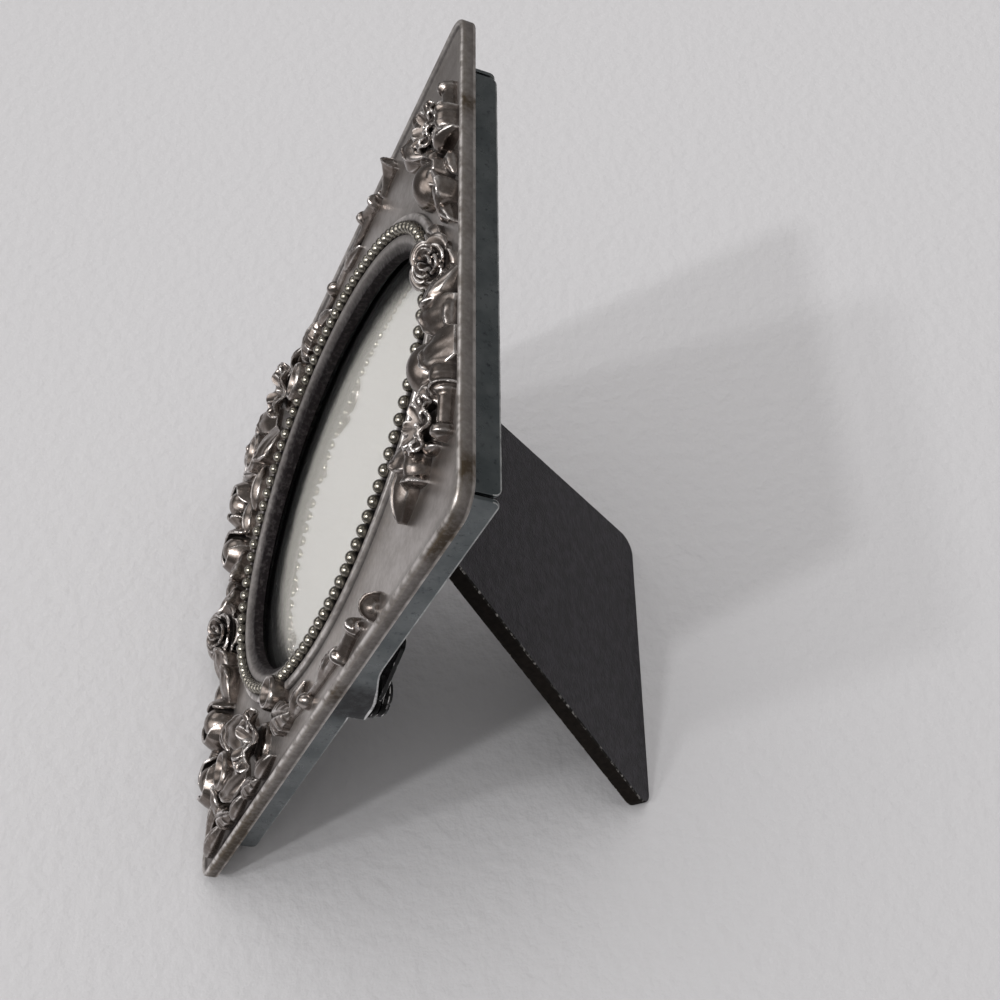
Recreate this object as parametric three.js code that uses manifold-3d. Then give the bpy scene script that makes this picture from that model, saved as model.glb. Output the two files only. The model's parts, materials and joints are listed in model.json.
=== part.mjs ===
// Small picture frame with an oval opening, standing on an easel leg.
// A cast face plate with a beaded oval and garlands is fixed to a folded sheet tray. The tray holds the
// glass, the picture and a board back, and two turn buttons on its long sides keep them in. A board leg
// is hinged to the back. Millimetres, +Z up, with the origin under the middle of the standing frame.
import * as THREE from 'three';
import { mergeVertices } from 'three/addons/utils/BufferGeometryUtils.js';
import Module from 'manifold-3d';

const wasm = await Module();
wasm.setup();

// Fits
const CLEARANCE = 0.25; // gap between pieces that lie on each other
const PANE_PLAY = 0.5; // gap round the panes inside the tray walls
const KNUCKLE_GAP = 0.3; // end gap between two hinge knuckles

// Face plate
const PLATE_WIDTH = 74;
const PLATE_HEIGHT = 100;
const PLATE_CORNER_RADIUS = 3.4;
const FIELD_THICKNESS = 1.4;
const RIM_WIDTH = 1;
const RIM_HEIGHT = 0.5; // above the field
const LEAN = THREE.MathUtils.degToRad(22.87); // plate's lean back from upright

// Oval opening: the borders run from the plate's edges to the line of bead centres
const BORDER_SIDE = 11.3;
const BORDER_TOP = 9.45;
const BORDER_BOTTOM = 13.25;
const BEAD_RADIUS = 0.85;
const BEAD_PITCH = 2;
const BEAD_LIFT = 0.2; // bead centres above the ledge
const LEDGE_WIDTH = 1.9; // outside the bead line
const LEDGE_HEIGHT = 0.7; // above the field
const FLANGE_WIDTH = 2.9; // inside the bead line, down to the lip
const LIP_THICKNESS = 1.2;

// Garland relief: how high a motif stands above the field, as a share of its width or radius
const LEAF_RISE = 0.5;
const BUD_RISE = 0.66;
const BLOSSOM_RISE = 0.85;
const ROSE_RISE = 0.87;

// Petals of a flower: their count, then shares of its radius and height
const BLOSSOM_PETALS = 5;
const ROSE_PETALS = 6;
const PETAL_CENTRE = 0.55;
const PETAL_HALF_LENGTH = 0.5;
const PETAL_HALF_WIDTH = 0.42;
const PETAL_RISE = 0.75;
const ROSE_HEART = [[0, -0.5], [0.7, -0.5], [0.72, 0.7], [0.55, 0.75], [0.5, 0.95], [0.25, 1], [0, 0.9]];

// Sheet tray
const SHEET = 0.5;
const TRAY_INSET = 4.5; // from the plate's edge
const TRAY_DEPTH = 4.6; // from the plate's back
const TRAY_SLIT = 0.4; // open corner seam
const TRAY_EDGE_RADIUS = 1; // rounded back corners of the walls
const WINDOW_MARGIN = 1; // tray's window stands back from the plate's lip

// Panes in the tray
const GLASS_THICKNESS = 0.9;
const CARD_THICKNESS = 0.3;
const BOARD_THICKNESS = 1.5;

// Turn buttons on lugs of the tray's long walls
const CLIP_HEIGHT = 48.4; // above the plate's bottom edge
const CLIP_INSET = 2.9; // screw's axis, in from the wall's outer face
const LUG_RISE = 2.1; // beyond the wall's back edge
const LUG_RAMP = 10; // curved run-up of the lug
const TONGUE_RADIUS = 2.8; // lug's end, folded in under the button
const BUTTON_RADIUS = 2.8;
const BUTTON_THICKNESS = 0.6;
const BLADE_REACH = 14.4; // from the screw's axis to the tip
const BLADE_STAND_OFF = 1.1; // blade's tip behind the wall's back edge
const BLADE_TIP_RADIUS = 1.1;
const BLADE_ROOT_HALF = 1.9;
const SCREW_RADIUS = 0.8;
const SCREW_HEAD_RADIUS = 2.5;
const SCREW_HEAD_SIDE = 0.7; // straight side of the head, below its crown
const SCREW_CROWN = 0.9;
const SCREW_SLOT_WIDTH = 0.7;
const SCREW_SLOT_DEPTH = 0.7;
const SCREW_SLOT_TURN = THREE.MathUtils.degToRad(33); // from straight across the frame
const SCREW_TAIL_RADIUS = 1.7; // end of the screw, spread behind the tongue
const SCREW_TAIL_HEIGHT = 0.5;

// Easel leg and its hinge
const LEG_THICKNESS = 2.4;
const LEG_TOP_WIDTH = 26;
const LEG_FOOT_WIDTH = 46.5;
const LEG_CORNER_RADIUS = 3.5;
const LEG_OFFSET = 2.7; // leg's centre line, towards +X
const LEG_OPEN_ANGLE = THREE.MathUtils.degToRad(50.3); // from the back
const HINGE_BELOW_TOP = 37.4; // hinge axis below the plate's top edge
const HINGE_WIDTH = 20;
const LEAF_LENGTH = 12; // from the hinge axis
const LEAF_THICKNESS = 0.6;
const PIN_RADIUS = 0.5;
const PIN_HEAD_RADIUS = 0.9;
const PIN_HEAD_LENGTH = 0.5;
const KNUCKLE_WALL = 0.45;
const KNUCKLE_ROOT = 0.3; // how deep a knuckle sits in its leaf
const TACK_RADIUS = 0.7;
const TACK_LENGTH = 1.1; // in the board
const TACK_HEAD_RADIUS = 1.5;
const TACK_HEAD_HEIGHT = 0.6;
const TACK_SPACING = 12;
const TACK_FROM_AXIS = 7;

// Smoothness of the round forms
const OVAL_SEGMENTS = 72;
const CORNER_SEGMENTS = 6;
const ROUND_SEGMENTS = 32;
const SMALL_SEGMENTS = 20;
const SPINDLE_SEGMENTS = 6;
const SPINDLE_STEPS = 5;
const HEART_SEGMENTS = 10;
const DOME_STEPS = 3;

// Places that follow from the sizes, measured from the plate's back
const OVAL_HALF_WIDTH = PLATE_WIDTH / 2 - BORDER_SIDE;
const OVAL_HALF_HEIGHT = (PLATE_HEIGHT - BORDER_TOP - BORDER_BOTTOM) / 2;
const OVAL_CENTRE = BORDER_BOTTOM + OVAL_HALF_HEIGHT;
const LEDGE_TOP = FIELD_THICKNESS + LEDGE_HEIGHT;
const TRAY_FRONT = -CLEARANCE;
const TRAY_HALF_WIDTH = PLATE_WIDTH / 2 - TRAY_INSET;
const TRAY_LOW = TRAY_INSET;
const TRAY_HIGH = PLATE_HEIGHT - TRAY_INSET;
const WALL_BACK = -TRAY_DEPTH;
const LUG_BACK = WALL_BACK - LUG_RISE;
const PANE_HALF_WIDTH = TRAY_HALF_WIDTH - SHEET - PANE_PLAY;
const PANE_LOW = TRAY_LOW + SHEET + PANE_PLAY;
const PANE_HIGH = TRAY_HIGH - SHEET - PANE_PLAY;
const GLASS_FRONT = TRAY_FRONT - SHEET - CLEARANCE;
const CARD_FRONT = GLASS_FRONT - GLASS_THICKNESS - CLEARANCE;
const BOARD_FRONT = CARD_FRONT - CARD_THICKNESS - CLEARANCE;
const BOARD_BACK = BOARD_FRONT - BOARD_THICKNESS;
const CLIP_X = TRAY_HALF_WIDTH - CLIP_INSET;
const BUTTON_FRONT = LUG_BACK - CLEARANCE;
const BUTTON_BACK = BUTTON_FRONT - BUTTON_THICKNESS;
const BLADE_TIP_FRONT = Math.min(WALL_BACK, BOARD_BACK) - BLADE_STAND_OFF;
const KNUCKLE_RADIUS = PIN_RADIUS + CLEARANCE + KNUCKLE_WALL;
const LEAF_BACK = BOARD_BACK - CLEARANCE - LEAF_THICKNESS;
const LEAF_FROM_AXIS = KNUCKLE_RADIUS - KNUCKLE_ROOT;
const HINGE_HEIGHT = PLATE_HEIGHT - HINGE_BELOW_TOP;
const HINGE_DEPTH = LEAF_BACK - LEAF_FROM_AXIS;
const LEG_INNER = KNUCKLE_RADIUS + CLEARANCE; // leg's inner face behind the hinge axis
const TACK_SHANK = TACK_LENGTH + LEAF_THICKNESS + 2 * CLEARANCE;
const TACK_PLACES = [-TACK_SPACING / 2, TACK_SPACING / 2];

// Materials
const antiqueMetal = new THREE.MeshStandardMaterial({ color: 0x918a85, roughness: 0.42, metalness: 0.85 });
const graySheet = new THREE.MeshStandardMaterial({ color: 0x454c4e, roughness: 0.5, metalness: 0.6 });
const clearGlass = new THREE.MeshStandardMaterial({ color: 0xe8f0ee, roughness: 0.05, metalness: 0 });
const creamCard = new THREE.MeshStandardMaterial({ color: 0xcac4b8, roughness: 0.85, metalness: 0 });
const blackBoard = new THREE.MeshStandardMaterial({ color: 0x302e32, roughness: 0.9, metalness: 0 });
const blackMetal = new THREE.MeshStandardMaterial({ color: 0x141313, roughness: 0.35, metalness: 0.7 });
const zincMetal = new THREE.MeshStandardMaterial({ color: 0x8c8f92, roughness: 0.4, metalness: 0.9 });

// Solids: joining and cutting

function toSolid(geometry) {
  const bare = geometry.clone();
  bare.deleteAttribute('normal');
  bare.deleteAttribute('uv');
  const merged = mergeVertices(bare, 1e-4);
  const index = merged.index.array;
  const triangles = [];
  for (let i = 0; i < index.length; i += 3) {
    const [a, b, c] = [index[i], index[i + 1], index[i + 2]];
    if (a !== b && b !== c && c !== a) triangles.push(a, b, c);
  }
  return new wasm.Manifold(new wasm.Mesh({
    numProp: 3,
    vertProperties: merged.attributes.position.array,
    triVerts: Uint32Array.from(triangles),
  }));
}

function toGeometry(solid) {
  const mesh = solid.getMesh();
  const geometry = new THREE.BufferGeometry();
  geometry.setAttribute('position', new THREE.BufferAttribute(Float32Array.from(mesh.vertProperties), 3));
  geometry.setIndex(new THREE.BufferAttribute(Uint32Array.from(mesh.triVerts), 1));
  geometry.computeVertexNormals();
  return geometry;
}

function join(geometries) {
  return geometries.map(toSolid).reduce((whole, solid) => whole.add(solid));
}

function cut(solid, geometries) {
  return geometries.map(toSolid).reduce((rest, tool) => rest.subtract(tool), solid);
}

function part(name, geometry, material) {
  const mesh = new THREE.Mesh(geometry, material);
  mesh.name = name;
  return mesh;
}

// Outlines and plain forms

function roundedRectangle(halfWidth, low, high, radius) {
  const right = halfWidth - radius;
  const quarter = Math.PI / 2;
  const path = new THREE.Path();
  path.absarc(right, low + radius, radius, -quarter, 0);
  path.absarc(right, high - radius, radius, 0, quarter);
  path.absarc(-right, high - radius, radius, quarter, 2 * quarter);
  path.absarc(-right, low + radius, radius, 2 * quarter, 3 * quarter);
  return path.getPoints(CORNER_SEGMENTS);
}

function rectangle(left, right, low, high) {
  const corners = [[left, low], [right, low], [right, high], [left, high]];
  return corners.map(([x, y]) => new THREE.Vector2(x, y));
}

function oval(offset) {
  const curve = new THREE.EllipseCurve(0, OVAL_CENTRE, OVAL_HALF_WIDTH + offset, OVAL_HALF_HEIGHT + offset);
  return curve.getPoints(OVAL_SEGMENTS).slice(0, -1);
}

function circle(x, y, radius) {
  return new THREE.EllipseCurve(x, y, radius, radius).getPoints(ROUND_SEGMENTS).slice(0, -1);
}

// Slab of an outline between two depths, with holes through it.
function slab(outline, back, front, holes = []) {
  const shape = new THREE.Shape(outline);
  shape.holes = holes.map((points) => new THREE.Path(points));
  const geometry = new THREE.ExtrudeGeometry(shape, { depth: front - back, bevelEnabled: false });
  return geometry.translate(0, 0, back);
}

// Slab of an outline of depth and height, from one place across the frame to another.
function slabAcross(outline, from, to) {
  return slab(outline, -to, -from).rotateY(-Math.PI / 2);
}

// Slab of an outline of width and depth, from one height to another.
function slabUp(outline, from, to) {
  return slab(outline, -to, -from).rotateX(Math.PI / 2);
}

// Round rod along the depth.
function rodDeep(x, y, radius, back, front) {
  const rod = new THREE.CylinderGeometry(radius, radius, front - back, SMALL_SEGMENTS);
  return rod.rotateX(Math.PI / 2).translate(x, y, (back + front) / 2);
}

// Round rod across the frame, on the hinge axis.
function rodAcross(radius, from, to) {
  const rod = new THREE.CylinderGeometry(radius, radius, to - from, SMALL_SEGMENTS);
  return rod.rotateZ(Math.PI / 2).translate((from + to) / 2, 0, 0);
}

// Turned form from pairs of radius and height.
function turned(profile, segments = SMALL_SEGMENTS) {
  const points = profile.map(([radius, height]) => new THREE.Vector2(radius, height));
  return new THREE.LatheGeometry(points, segments);
}

// Profile of a domed head, from its rim to the axis.
function dome(radius, base, height) {
  const rise = Array.from({ length: DOME_STEPS }, (_, i) => {
    const angle = ((Math.PI / 2) * i) / DOME_STEPS;
    return [radius * Math.cos(angle), base + height * Math.sin(angle)];
  });
  return [...rise, [0, base + height]];
}

// Face plate

// Ring with one section all round the oval: each point is an offset from the bead line and a height.
function ovalRing(section) {
  const profile = [...section, section[0]].map(([offset, height]) => [OVAL_HALF_WIDTH + offset, height]);
  const ring = turned(profile, OVAL_SEGMENTS);
  const position = ring.attributes.position;
  for (let i = 0; i < position.count; i += 1) {
    const offset = Math.hypot(position.getX(i), position.getZ(i)) - OVAL_HALF_WIDTH;
    const angle = Math.atan2(position.getX(i), position.getZ(i));
    const x = (OVAL_HALF_WIDTH + offset) * Math.sin(angle);
    const y = OVAL_CENTRE + (OVAL_HALF_HEIGHT + offset) * Math.cos(angle);
    position.setXYZ(i, x, y, position.getY(i));
  }
  return ring;
}

function border() {
  const coveOffset = (BEAD_RADIUS + FLANGE_WIDTH) / 2;
  const coveHeight = LIP_THICKNESS + (LEDGE_TOP - LIP_THICKNESS) / 3;
  return ovalRing([
    [-FLANGE_WIDTH, 0],
    [-FLANGE_WIDTH, LIP_THICKNESS],
    [-coveOffset, coveHeight],
    [-BEAD_RADIUS, LEDGE_TOP],
    [LEDGE_WIDTH, LEDGE_TOP],
    [LEDGE_WIDTH, 0],
  ]);
}

function beads() {
  const line = new THREE.EllipseCurve(0, OVAL_CENTRE, OVAL_HALF_WIDTH, OVAL_HALF_HEIGHT);
  const count = Math.round(line.getLength() / BEAD_PITCH);
  const places = line.getSpacedPoints(count).slice(0, -1);
  const height = LEDGE_TOP + BEAD_LIFT;
  return places.map(({ x, y }) => new THREE.IcosahedronGeometry(BEAD_RADIUS, 0).translate(x, y, height));
}

// Point of the field at an angle about the oval's centre: share 0 is at the ledge and 1 at the rim.
function fieldPoint(angle, share) {
  const cosine = Math.cos(angle);
  const sine = Math.sin(angle);
  const halfWidth = OVAL_HALF_WIDTH + LEDGE_WIDTH;
  const halfHeight = OVAL_HALF_HEIGHT + LEDGE_WIDTH;
  const inner = 1 / Math.hypot(cosine / halfWidth, sine / halfHeight);
  const room = sine > 0 ? PLATE_HEIGHT - OVAL_CENTRE : OVAL_CENTRE;
  const toSide = (PLATE_WIDTH / 2 - RIM_WIDTH) / Math.abs(cosine);
  const toEnd = (room - RIM_WIDTH) / Math.abs(sine);
  const distance = inner + (Math.min(toSide, toEnd) - inner) * share;
  return [distance * cosine, OVAL_CENTRE + distance * sine];
}

// Spindle that lies along its length, flattened to its width and height.
function spindle(length, width, height) {
  const profile = Array.from({ length: SPINDLE_STEPS + 1 }, (_, i) => {
    const share = i / SPINDLE_STEPS;
    return [Math.sin(Math.PI * share) / 2, share - 0.5];
  });
  const form = turned(profile, SPINDLE_SEGMENTS);
  return form.rotateZ(-Math.PI / 2).scale(length, width, 2 * height);
}

function leaf(length, width) {
  return [spindle(length, width, width * LEAF_RISE)];
}

function bud(length, width) {
  const sepal = spindle(length, width / 2, width * LEAF_RISE).translate(-length / 3, 0, 0);
  return [spindle(length, width, width * BUD_RISE), sepal];
}

function petals(count, radius, height) {
  const turns = Array.from({ length: count }, (_, i) => (2 * Math.PI * i) / count);
  return turns.map((turn) => {
    const petal = new THREE.IcosahedronGeometry(1, 0);
    petal.scale(radius * PETAL_HALF_LENGTH, radius * PETAL_HALF_WIDTH, height * PETAL_RISE);
    return petal.translate(radius * PETAL_CENTRE, 0, 0).rotateZ(turn);
  });
}

function blossom(radius) {
  const height = radius * BLOSSOM_RISE;
  const heart = new THREE.IcosahedronGeometry(1, 0).scale(radius / 3, radius / 3, height);
  return [...petals(BLOSSOM_PETALS, radius, height), heart];
}

function rose(radius) {
  const height = radius * ROSE_RISE;
  const heart = turned(ROSE_HEART, HEART_SEGMENTS).rotateX(Math.PI / 2).scale(radius, radius, height);
  return [...petals(ROSE_PETALS, radius, height), heart];
}

// Garland motifs of the right half: form, angle about the oval, share of the field's width, the way it
// points, then its length and width, or its radius. All angles are in degrees.
const TOP_SPRAY = [
  [leaf, 80.4, 0.65, 25, 6, 3.4],
  [leaf, 71, 0.73, -8, 7, 5],
  [bud, 70.3, 0.29, -35, 6, 4.6],
  [leaf, 63, 0.8, -12, 8.5, 3],
  [blossom, 59.9, 0.59, 0, 2.9],
  [leaf, 55, 0.4, -60, 6, 3.2],
  [bud, 52.9, 0.48, -50, 5.6, 3.6],
];
const SIDE_SPRAY = [
  [bud, 33.2, 0.74, 65, 6, 3.4],
  [bud, 22, 0.66, 80, 6, 2.8],
  [leaf, 10.6, 0.61, 86, 12, 1.6],
  [leaf, -3.4, 0.55, 95, 9, 2.6],
  [leaf, -18.3, 0.49, 75, 8, 3.6],
  [bud, -29, 0.27, 110, 6, 3.6],
  [blossom, -37.2, 0.42, 0, 3.2],
];
const BOTTOM_SPRAY = [
  [leaf, -45, 0.58, 75, 7.5, 3.8],
  [blossom, -53.5, 0.43, 20, 3.4],
  [leaf, -60, 0.42, 40, 8, 4],
  [bud, -62, 0.75, -30, 7, 5],
  [leaf, -67, 0.72, 30, 6, 3.4],
  [blossom, -72, 0.65, 10, 3.8],
  [leaf, -78.6, 0.38, 20, 7.5, 3.8],
  [leaf, -80.6, 0.76, -15, 6, 3],
];
const ROSES = [
  [rose, 90, 0.24, 0, 4.2],
  [rose, -90, 0.5, 0, 4.6],
];

function motif([form, angle, share, turn, ...size], side) {
  const [x, y] = fieldPoint(THREE.MathUtils.degToRad(angle), share);
  const direction = THREE.MathUtils.degToRad(side > 0 ? turn : 180 - turn);
  const lumps = form(...size);
  return lumps.map((lump) => lump.rotateZ(direction).translate(side * x, y, FIELD_THICKNESS));
}

function garlands() {
  const half = [...TOP_SPRAY, ...SIDE_SPRAY, ...BOTTOM_SPRAY];
  const bothSides = half.flatMap((row) => [...motif(row, 1), ...motif(row, -1)]);
  return [...bothSides, ...ROSES.flatMap((row) => motif(row, 1))];
}

function facePlate() {
  const half = PLATE_WIDTH / 2;
  const outline = roundedRectangle(half, 0, PLATE_HEIGHT, PLATE_CORNER_RADIUS);
  const innerRadius = Math.max(PLATE_CORNER_RADIUS - RIM_WIDTH, RIM_WIDTH / 2);
  const inside = roundedRectangle(half - RIM_WIDTH, RIM_WIDTH, PLATE_HEIGHT - RIM_WIDTH, innerRadius);
  const field = slab(outline, 0, FIELD_THICKNESS, [oval(LEDGE_WIDTH / 2)]);
  const rim = slab(outline, 0, FIELD_THICKNESS + RIM_HEIGHT, [inside]);
  const around = rectangle(-PLATE_WIDTH, PLATE_WIDTH, -PLATE_HEIGHT, 2 * PLATE_HEIGHT);
  const below = slab(around, -PLATE_HEIGHT, FIELD_THICKNESS / 2);
  const relief = cut(join(garlands()), [below]);
  const plate = join([field, rim, border(), ...beads()]).add(relief);
  return part('face_plate', toGeometry(plate), antiqueMetal);
}

// Sheet tray

// Long wall, with the curved run-up and the square end of its lug.
function longWall(side) {
  const lugLow = CLIP_HEIGHT - TONGUE_RADIUS / 2;
  const lugHigh = CLIP_HEIGHT + TONGUE_RADIUS / 2;
  const rampEnd = lugHigh + LUG_RAMP;
  const rampLow = lugHigh + LUG_RAMP / 3;
  const rampHigh = rampEnd - LUG_RAMP / 3;
  const bend = WALL_BACK + TRAY_EDGE_RADIUS;
  const wall = new THREE.Path();
  wall.moveTo(TRAY_FRONT, TRAY_HIGH);
  wall.lineTo(TRAY_FRONT, TRAY_LOW);
  wall.absarc(bend, TRAY_LOW + TRAY_EDGE_RADIUS, TRAY_EDGE_RADIUS, -Math.PI / 2, -Math.PI, true);
  wall.lineTo(WALL_BACK, lugLow);
  wall.lineTo(LUG_BACK, lugLow);
  wall.lineTo(LUG_BACK, lugHigh);
  wall.bezierCurveTo(LUG_BACK, rampLow, WALL_BACK, rampHigh, WALL_BACK, rampEnd);
  wall.absarc(bend, TRAY_HIGH - TRAY_EDGE_RADIUS, TRAY_EDGE_RADIUS, Math.PI, Math.PI / 2, true);
  const outline = wall.getPoints(CORNER_SEGMENTS);
  const outer = side * TRAY_HALF_WIDTH;
  const inner = side * (TRAY_HALF_WIDTH - SHEET);
  return slabAcross(outline, Math.min(outer, inner), Math.max(outer, inner));
}

// Short wall at the top or bottom, between the long walls, with an open seam at each end.
function shortWall(low) {
  const half = TRAY_HALF_WIDTH - SHEET - TRAY_SLIT;
  const bend = WALL_BACK + TRAY_EDGE_RADIUS;
  const wall = new THREE.Path();
  wall.moveTo(-half, TRAY_FRONT);
  wall.lineTo(half, TRAY_FRONT);
  wall.absarc(half - TRAY_EDGE_RADIUS, bend, TRAY_EDGE_RADIUS, 0, -Math.PI / 2, true);
  wall.absarc(TRAY_EDGE_RADIUS - half, bend, TRAY_EDGE_RADIUS, -Math.PI / 2, -Math.PI, true);
  return slabUp(wall.getPoints(CORNER_SEGMENTS), low, low + SHEET);
}

// End of the lug, folded in behind the board's edge to carry the button.
function tongue(side) {
  const neck = [side * CLIP_X, side * TRAY_HALF_WIDTH].sort((a, b) => a - b);
  const low = CLIP_HEIGHT - TONGUE_RADIUS / 2;
  const high = CLIP_HEIGHT + TONGUE_RADIUS / 2;
  return [
    slab(rectangle(...neck, low, high), LUG_BACK, LUG_BACK + SHEET),
    slab(circle(side * CLIP_X, CLIP_HEIGHT, TONGUE_RADIUS), LUG_BACK, LUG_BACK + SHEET),
  ];
}

function backTray() {
  const outline = rectangle(-TRAY_HALF_WIDTH, TRAY_HALF_WIDTH, TRAY_LOW, TRAY_HIGH);
  const flange = slab(outline, TRAY_FRONT - SHEET, TRAY_FRONT, [oval(WINDOW_MARGIN - FLANGE_WIDTH)]);
  const walls = [longWall(1), longWall(-1), shortWall(TRAY_LOW), shortWall(TRAY_HIGH - SHEET)];
  const body = join([flange, ...walls, ...tongue(1), ...tongue(-1)]);
  const bore = SCREW_RADIUS + CLEARANCE;
  const holes = [1, -1].map((side) => rodDeep(side * CLIP_X, CLIP_HEIGHT, bore, BUTTON_BACK, WALL_BACK));
  return part('back_tray', toGeometry(cut(body, holes)), graySheet);
}

// Panes: glass, picture and board back

function pane(name, front, thickness, material) {
  const outline = rectangle(-PANE_HALF_WIDTH, PANE_HALF_WIDTH, PANE_LOW, PANE_HIGH);
  return part(name, slab(outline, front - thickness, front), material);
}

// Board back, notched to pass the lugs' tongues, with blind holes for the hinge's tacks.
function backBoard() {
  const outline = rectangle(-PANE_HALF_WIDTH, PANE_HALF_WIDTH, PANE_LOW, PANE_HIGH);
  const board = toSolid(slab(outline, BOARD_BACK, BOARD_FRONT));
  const reach = TONGUE_RADIUS + PANE_PLAY;
  const notches = [1, -1].map((side) => {
    const across = [side * (CLIP_X - reach), side * TRAY_HALF_WIDTH].sort((a, b) => a - b);
    const outlineOfNotch = rectangle(...across, CLIP_HEIGHT - reach, CLIP_HEIGHT + reach);
    return slab(outlineOfNotch, BOARD_BACK - CLEARANCE, BOARD_FRONT + CLEARANCE);
  });
  const holeHeight = HINGE_HEIGHT + TACK_FROM_AXIS;
  const deepest = BOARD_BACK + TACK_LENGTH + CLEARANCE / 2;
  const holes = TACK_PLACES.map((place) => (
    rodDeep(LEG_OFFSET + place, holeHeight, TACK_RADIUS + CLEARANCE, BOARD_BACK - CLEARANCE, deepest)
  ));
  return part('back_board', toGeometry(cut(board, [...notches, ...holes])), blackBoard);
}

// Turn buttons and their screws

// Button drawn round its screw: a disc, and a blade that slopes to the board past the tongue.
function turnButton(name, side) {
  const bend = TONGUE_RADIUS + PANE_PLAY;
  const section = [
    [BUTTON_FRONT, 0],
    [BUTTON_FRONT, bend],
    [BLADE_TIP_FRONT, BLADE_REACH],
    [BLADE_TIP_FRONT - BUTTON_THICKNESS, BLADE_REACH],
    [BUTTON_BACK, bend],
    [BUTTON_BACK, 0],
  ].map(([depth, height]) => new THREE.Vector2(depth, height));
  const plan = new THREE.Path();
  plan.moveTo(-BLADE_ROOT_HALF, 0);
  plan.lineTo(BLADE_ROOT_HALF, 0);
  plan.absarc(0, BLADE_REACH - BLADE_TIP_RADIUS, BLADE_TIP_RADIUS, 0, Math.PI);
  const half = BLADE_ROOT_HALF + BLADE_TIP_RADIUS;
  const strip = toSolid(slabAcross(section, -half, half));
  const outline = slab(plan.getPoints(CORNER_SEGMENTS), 2 * BUTTON_BACK, BUTTON_THICKNESS);
  const disc = slab(circle(0, 0, BUTTON_RADIUS), BUTTON_BACK, BUTTON_FRONT);
  const bore = rodDeep(0, 0, SCREW_RADIUS + CLEARANCE, 2 * BUTTON_BACK, BUTTON_THICKNESS);
  const button = cut(strip.intersect(toSolid(outline)).add(toSolid(disc)), [bore]);
  const mesh = part(name, toGeometry(button), blackMetal);
  mesh.position.set(side * CLIP_X, CLIP_HEIGHT, 0);
  return mesh;
}

// Screw with a slotted crowned head, its end spread behind the tongue so that the button stays on.
function buttonScrew(name, side) {
  const tailBack = LUG_BACK + SHEET + CLEARANCE;
  const headFront = BUTTON_BACK - CLEARANCE;
  const headBack = headFront - SCREW_HEAD_SIDE - SCREW_CROWN;
  const profile = [
    [0, -tailBack - SCREW_TAIL_HEIGHT],
    [SCREW_TAIL_RADIUS, -tailBack - SCREW_TAIL_HEIGHT],
    [SCREW_TAIL_RADIUS, -tailBack],
    [SCREW_RADIUS, -tailBack],
    [SCREW_RADIUS, -headFront],
    [SCREW_HEAD_RADIUS, -headFront],
    ...dome(SCREW_HEAD_RADIUS, SCREW_HEAD_SIDE - headFront, SCREW_CROWN),
  ];
  const half = SCREW_SLOT_WIDTH / 2;
  const across = rectangle(-2 * SCREW_HEAD_RADIUS, 2 * SCREW_HEAD_RADIUS, -half, half);
  const slot = slab(across, headBack - CLEARANCE, headBack + SCREW_SLOT_DEPTH);
  slot.rotateZ(side * SCREW_SLOT_TURN);
  const screw = toSolid(turned(profile).rotateX(-Math.PI / 2));
  const mesh = part(name, toGeometry(cut(screw, [slot])), blackMetal);
  mesh.position.set(side * CLIP_X, CLIP_HEIGHT, 0);
  return mesh;
}

// Hinge and leg, drawn round the hinge axis

// Leaf with its plate above the axis, its near face at the given distance towards the board.
function hingeLeaf(name, knuckles, near) {
  const far = near + LEAF_THICKNESS;
  const half = HINGE_WIDTH / 2;
  const plate = slab(rectangle(-half, half, LEG_INNER, LEAF_LENGTH), near, far);
  const tabs = knuckles.map(([from, to]) => slab(rectangle(from, to, 0, LEG_INNER + CLEARANCE), near, far));
  const barrels = knuckles.map(([from, to]) => rodAcross(KNUCKLE_RADIUS, from, to));
  const bore = rodAcross(PIN_RADIUS + CLEARANCE, -HINGE_WIDTH, HINGE_WIDTH);
  const hole = TACK_RADIUS + CLEARANCE;
  const holes = TACK_PLACES.map((x) => rodDeep(x, TACK_FROM_AXIS, hole, near - CLEARANCE, far + CLEARANCE));
  return part(name, toGeometry(cut(join([plate, ...tabs, ...barrels]), [bore, ...holes])), zincMetal);
}

function hingePin() {
  const inside = HINGE_WIDTH / 2 + CLEARANCE;
  const end = inside + PIN_HEAD_LENGTH;
  const profile = [
    [0, -end],
    [PIN_HEAD_RADIUS, -end],
    [PIN_HEAD_RADIUS, -inside],
    [PIN_RADIUS, -inside],
    [PIN_RADIUS, inside],
    [PIN_HEAD_RADIUS, inside],
    [PIN_HEAD_RADIUS, end],
    [0, end],
  ];
  return part('hinge_pin', turned(profile).rotateZ(Math.PI / 2), zincMetal);
}

// Tack with its head to the back, from the underside of its head.
function tack(name, x, y, z) {
  const profile = [
    [0, -TACK_SHANK],
    [TACK_RADIUS, -TACK_SHANK],
    [TACK_RADIUS, 0],
    ...dome(TACK_HEAD_RADIUS, 0, TACK_HEAD_HEIGHT),
  ];
  const mesh = part(name, turned(profile).rotateX(-Math.PI / 2), zincMetal);
  mesh.position.set(x, y, z);
  return mesh;
}

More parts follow.
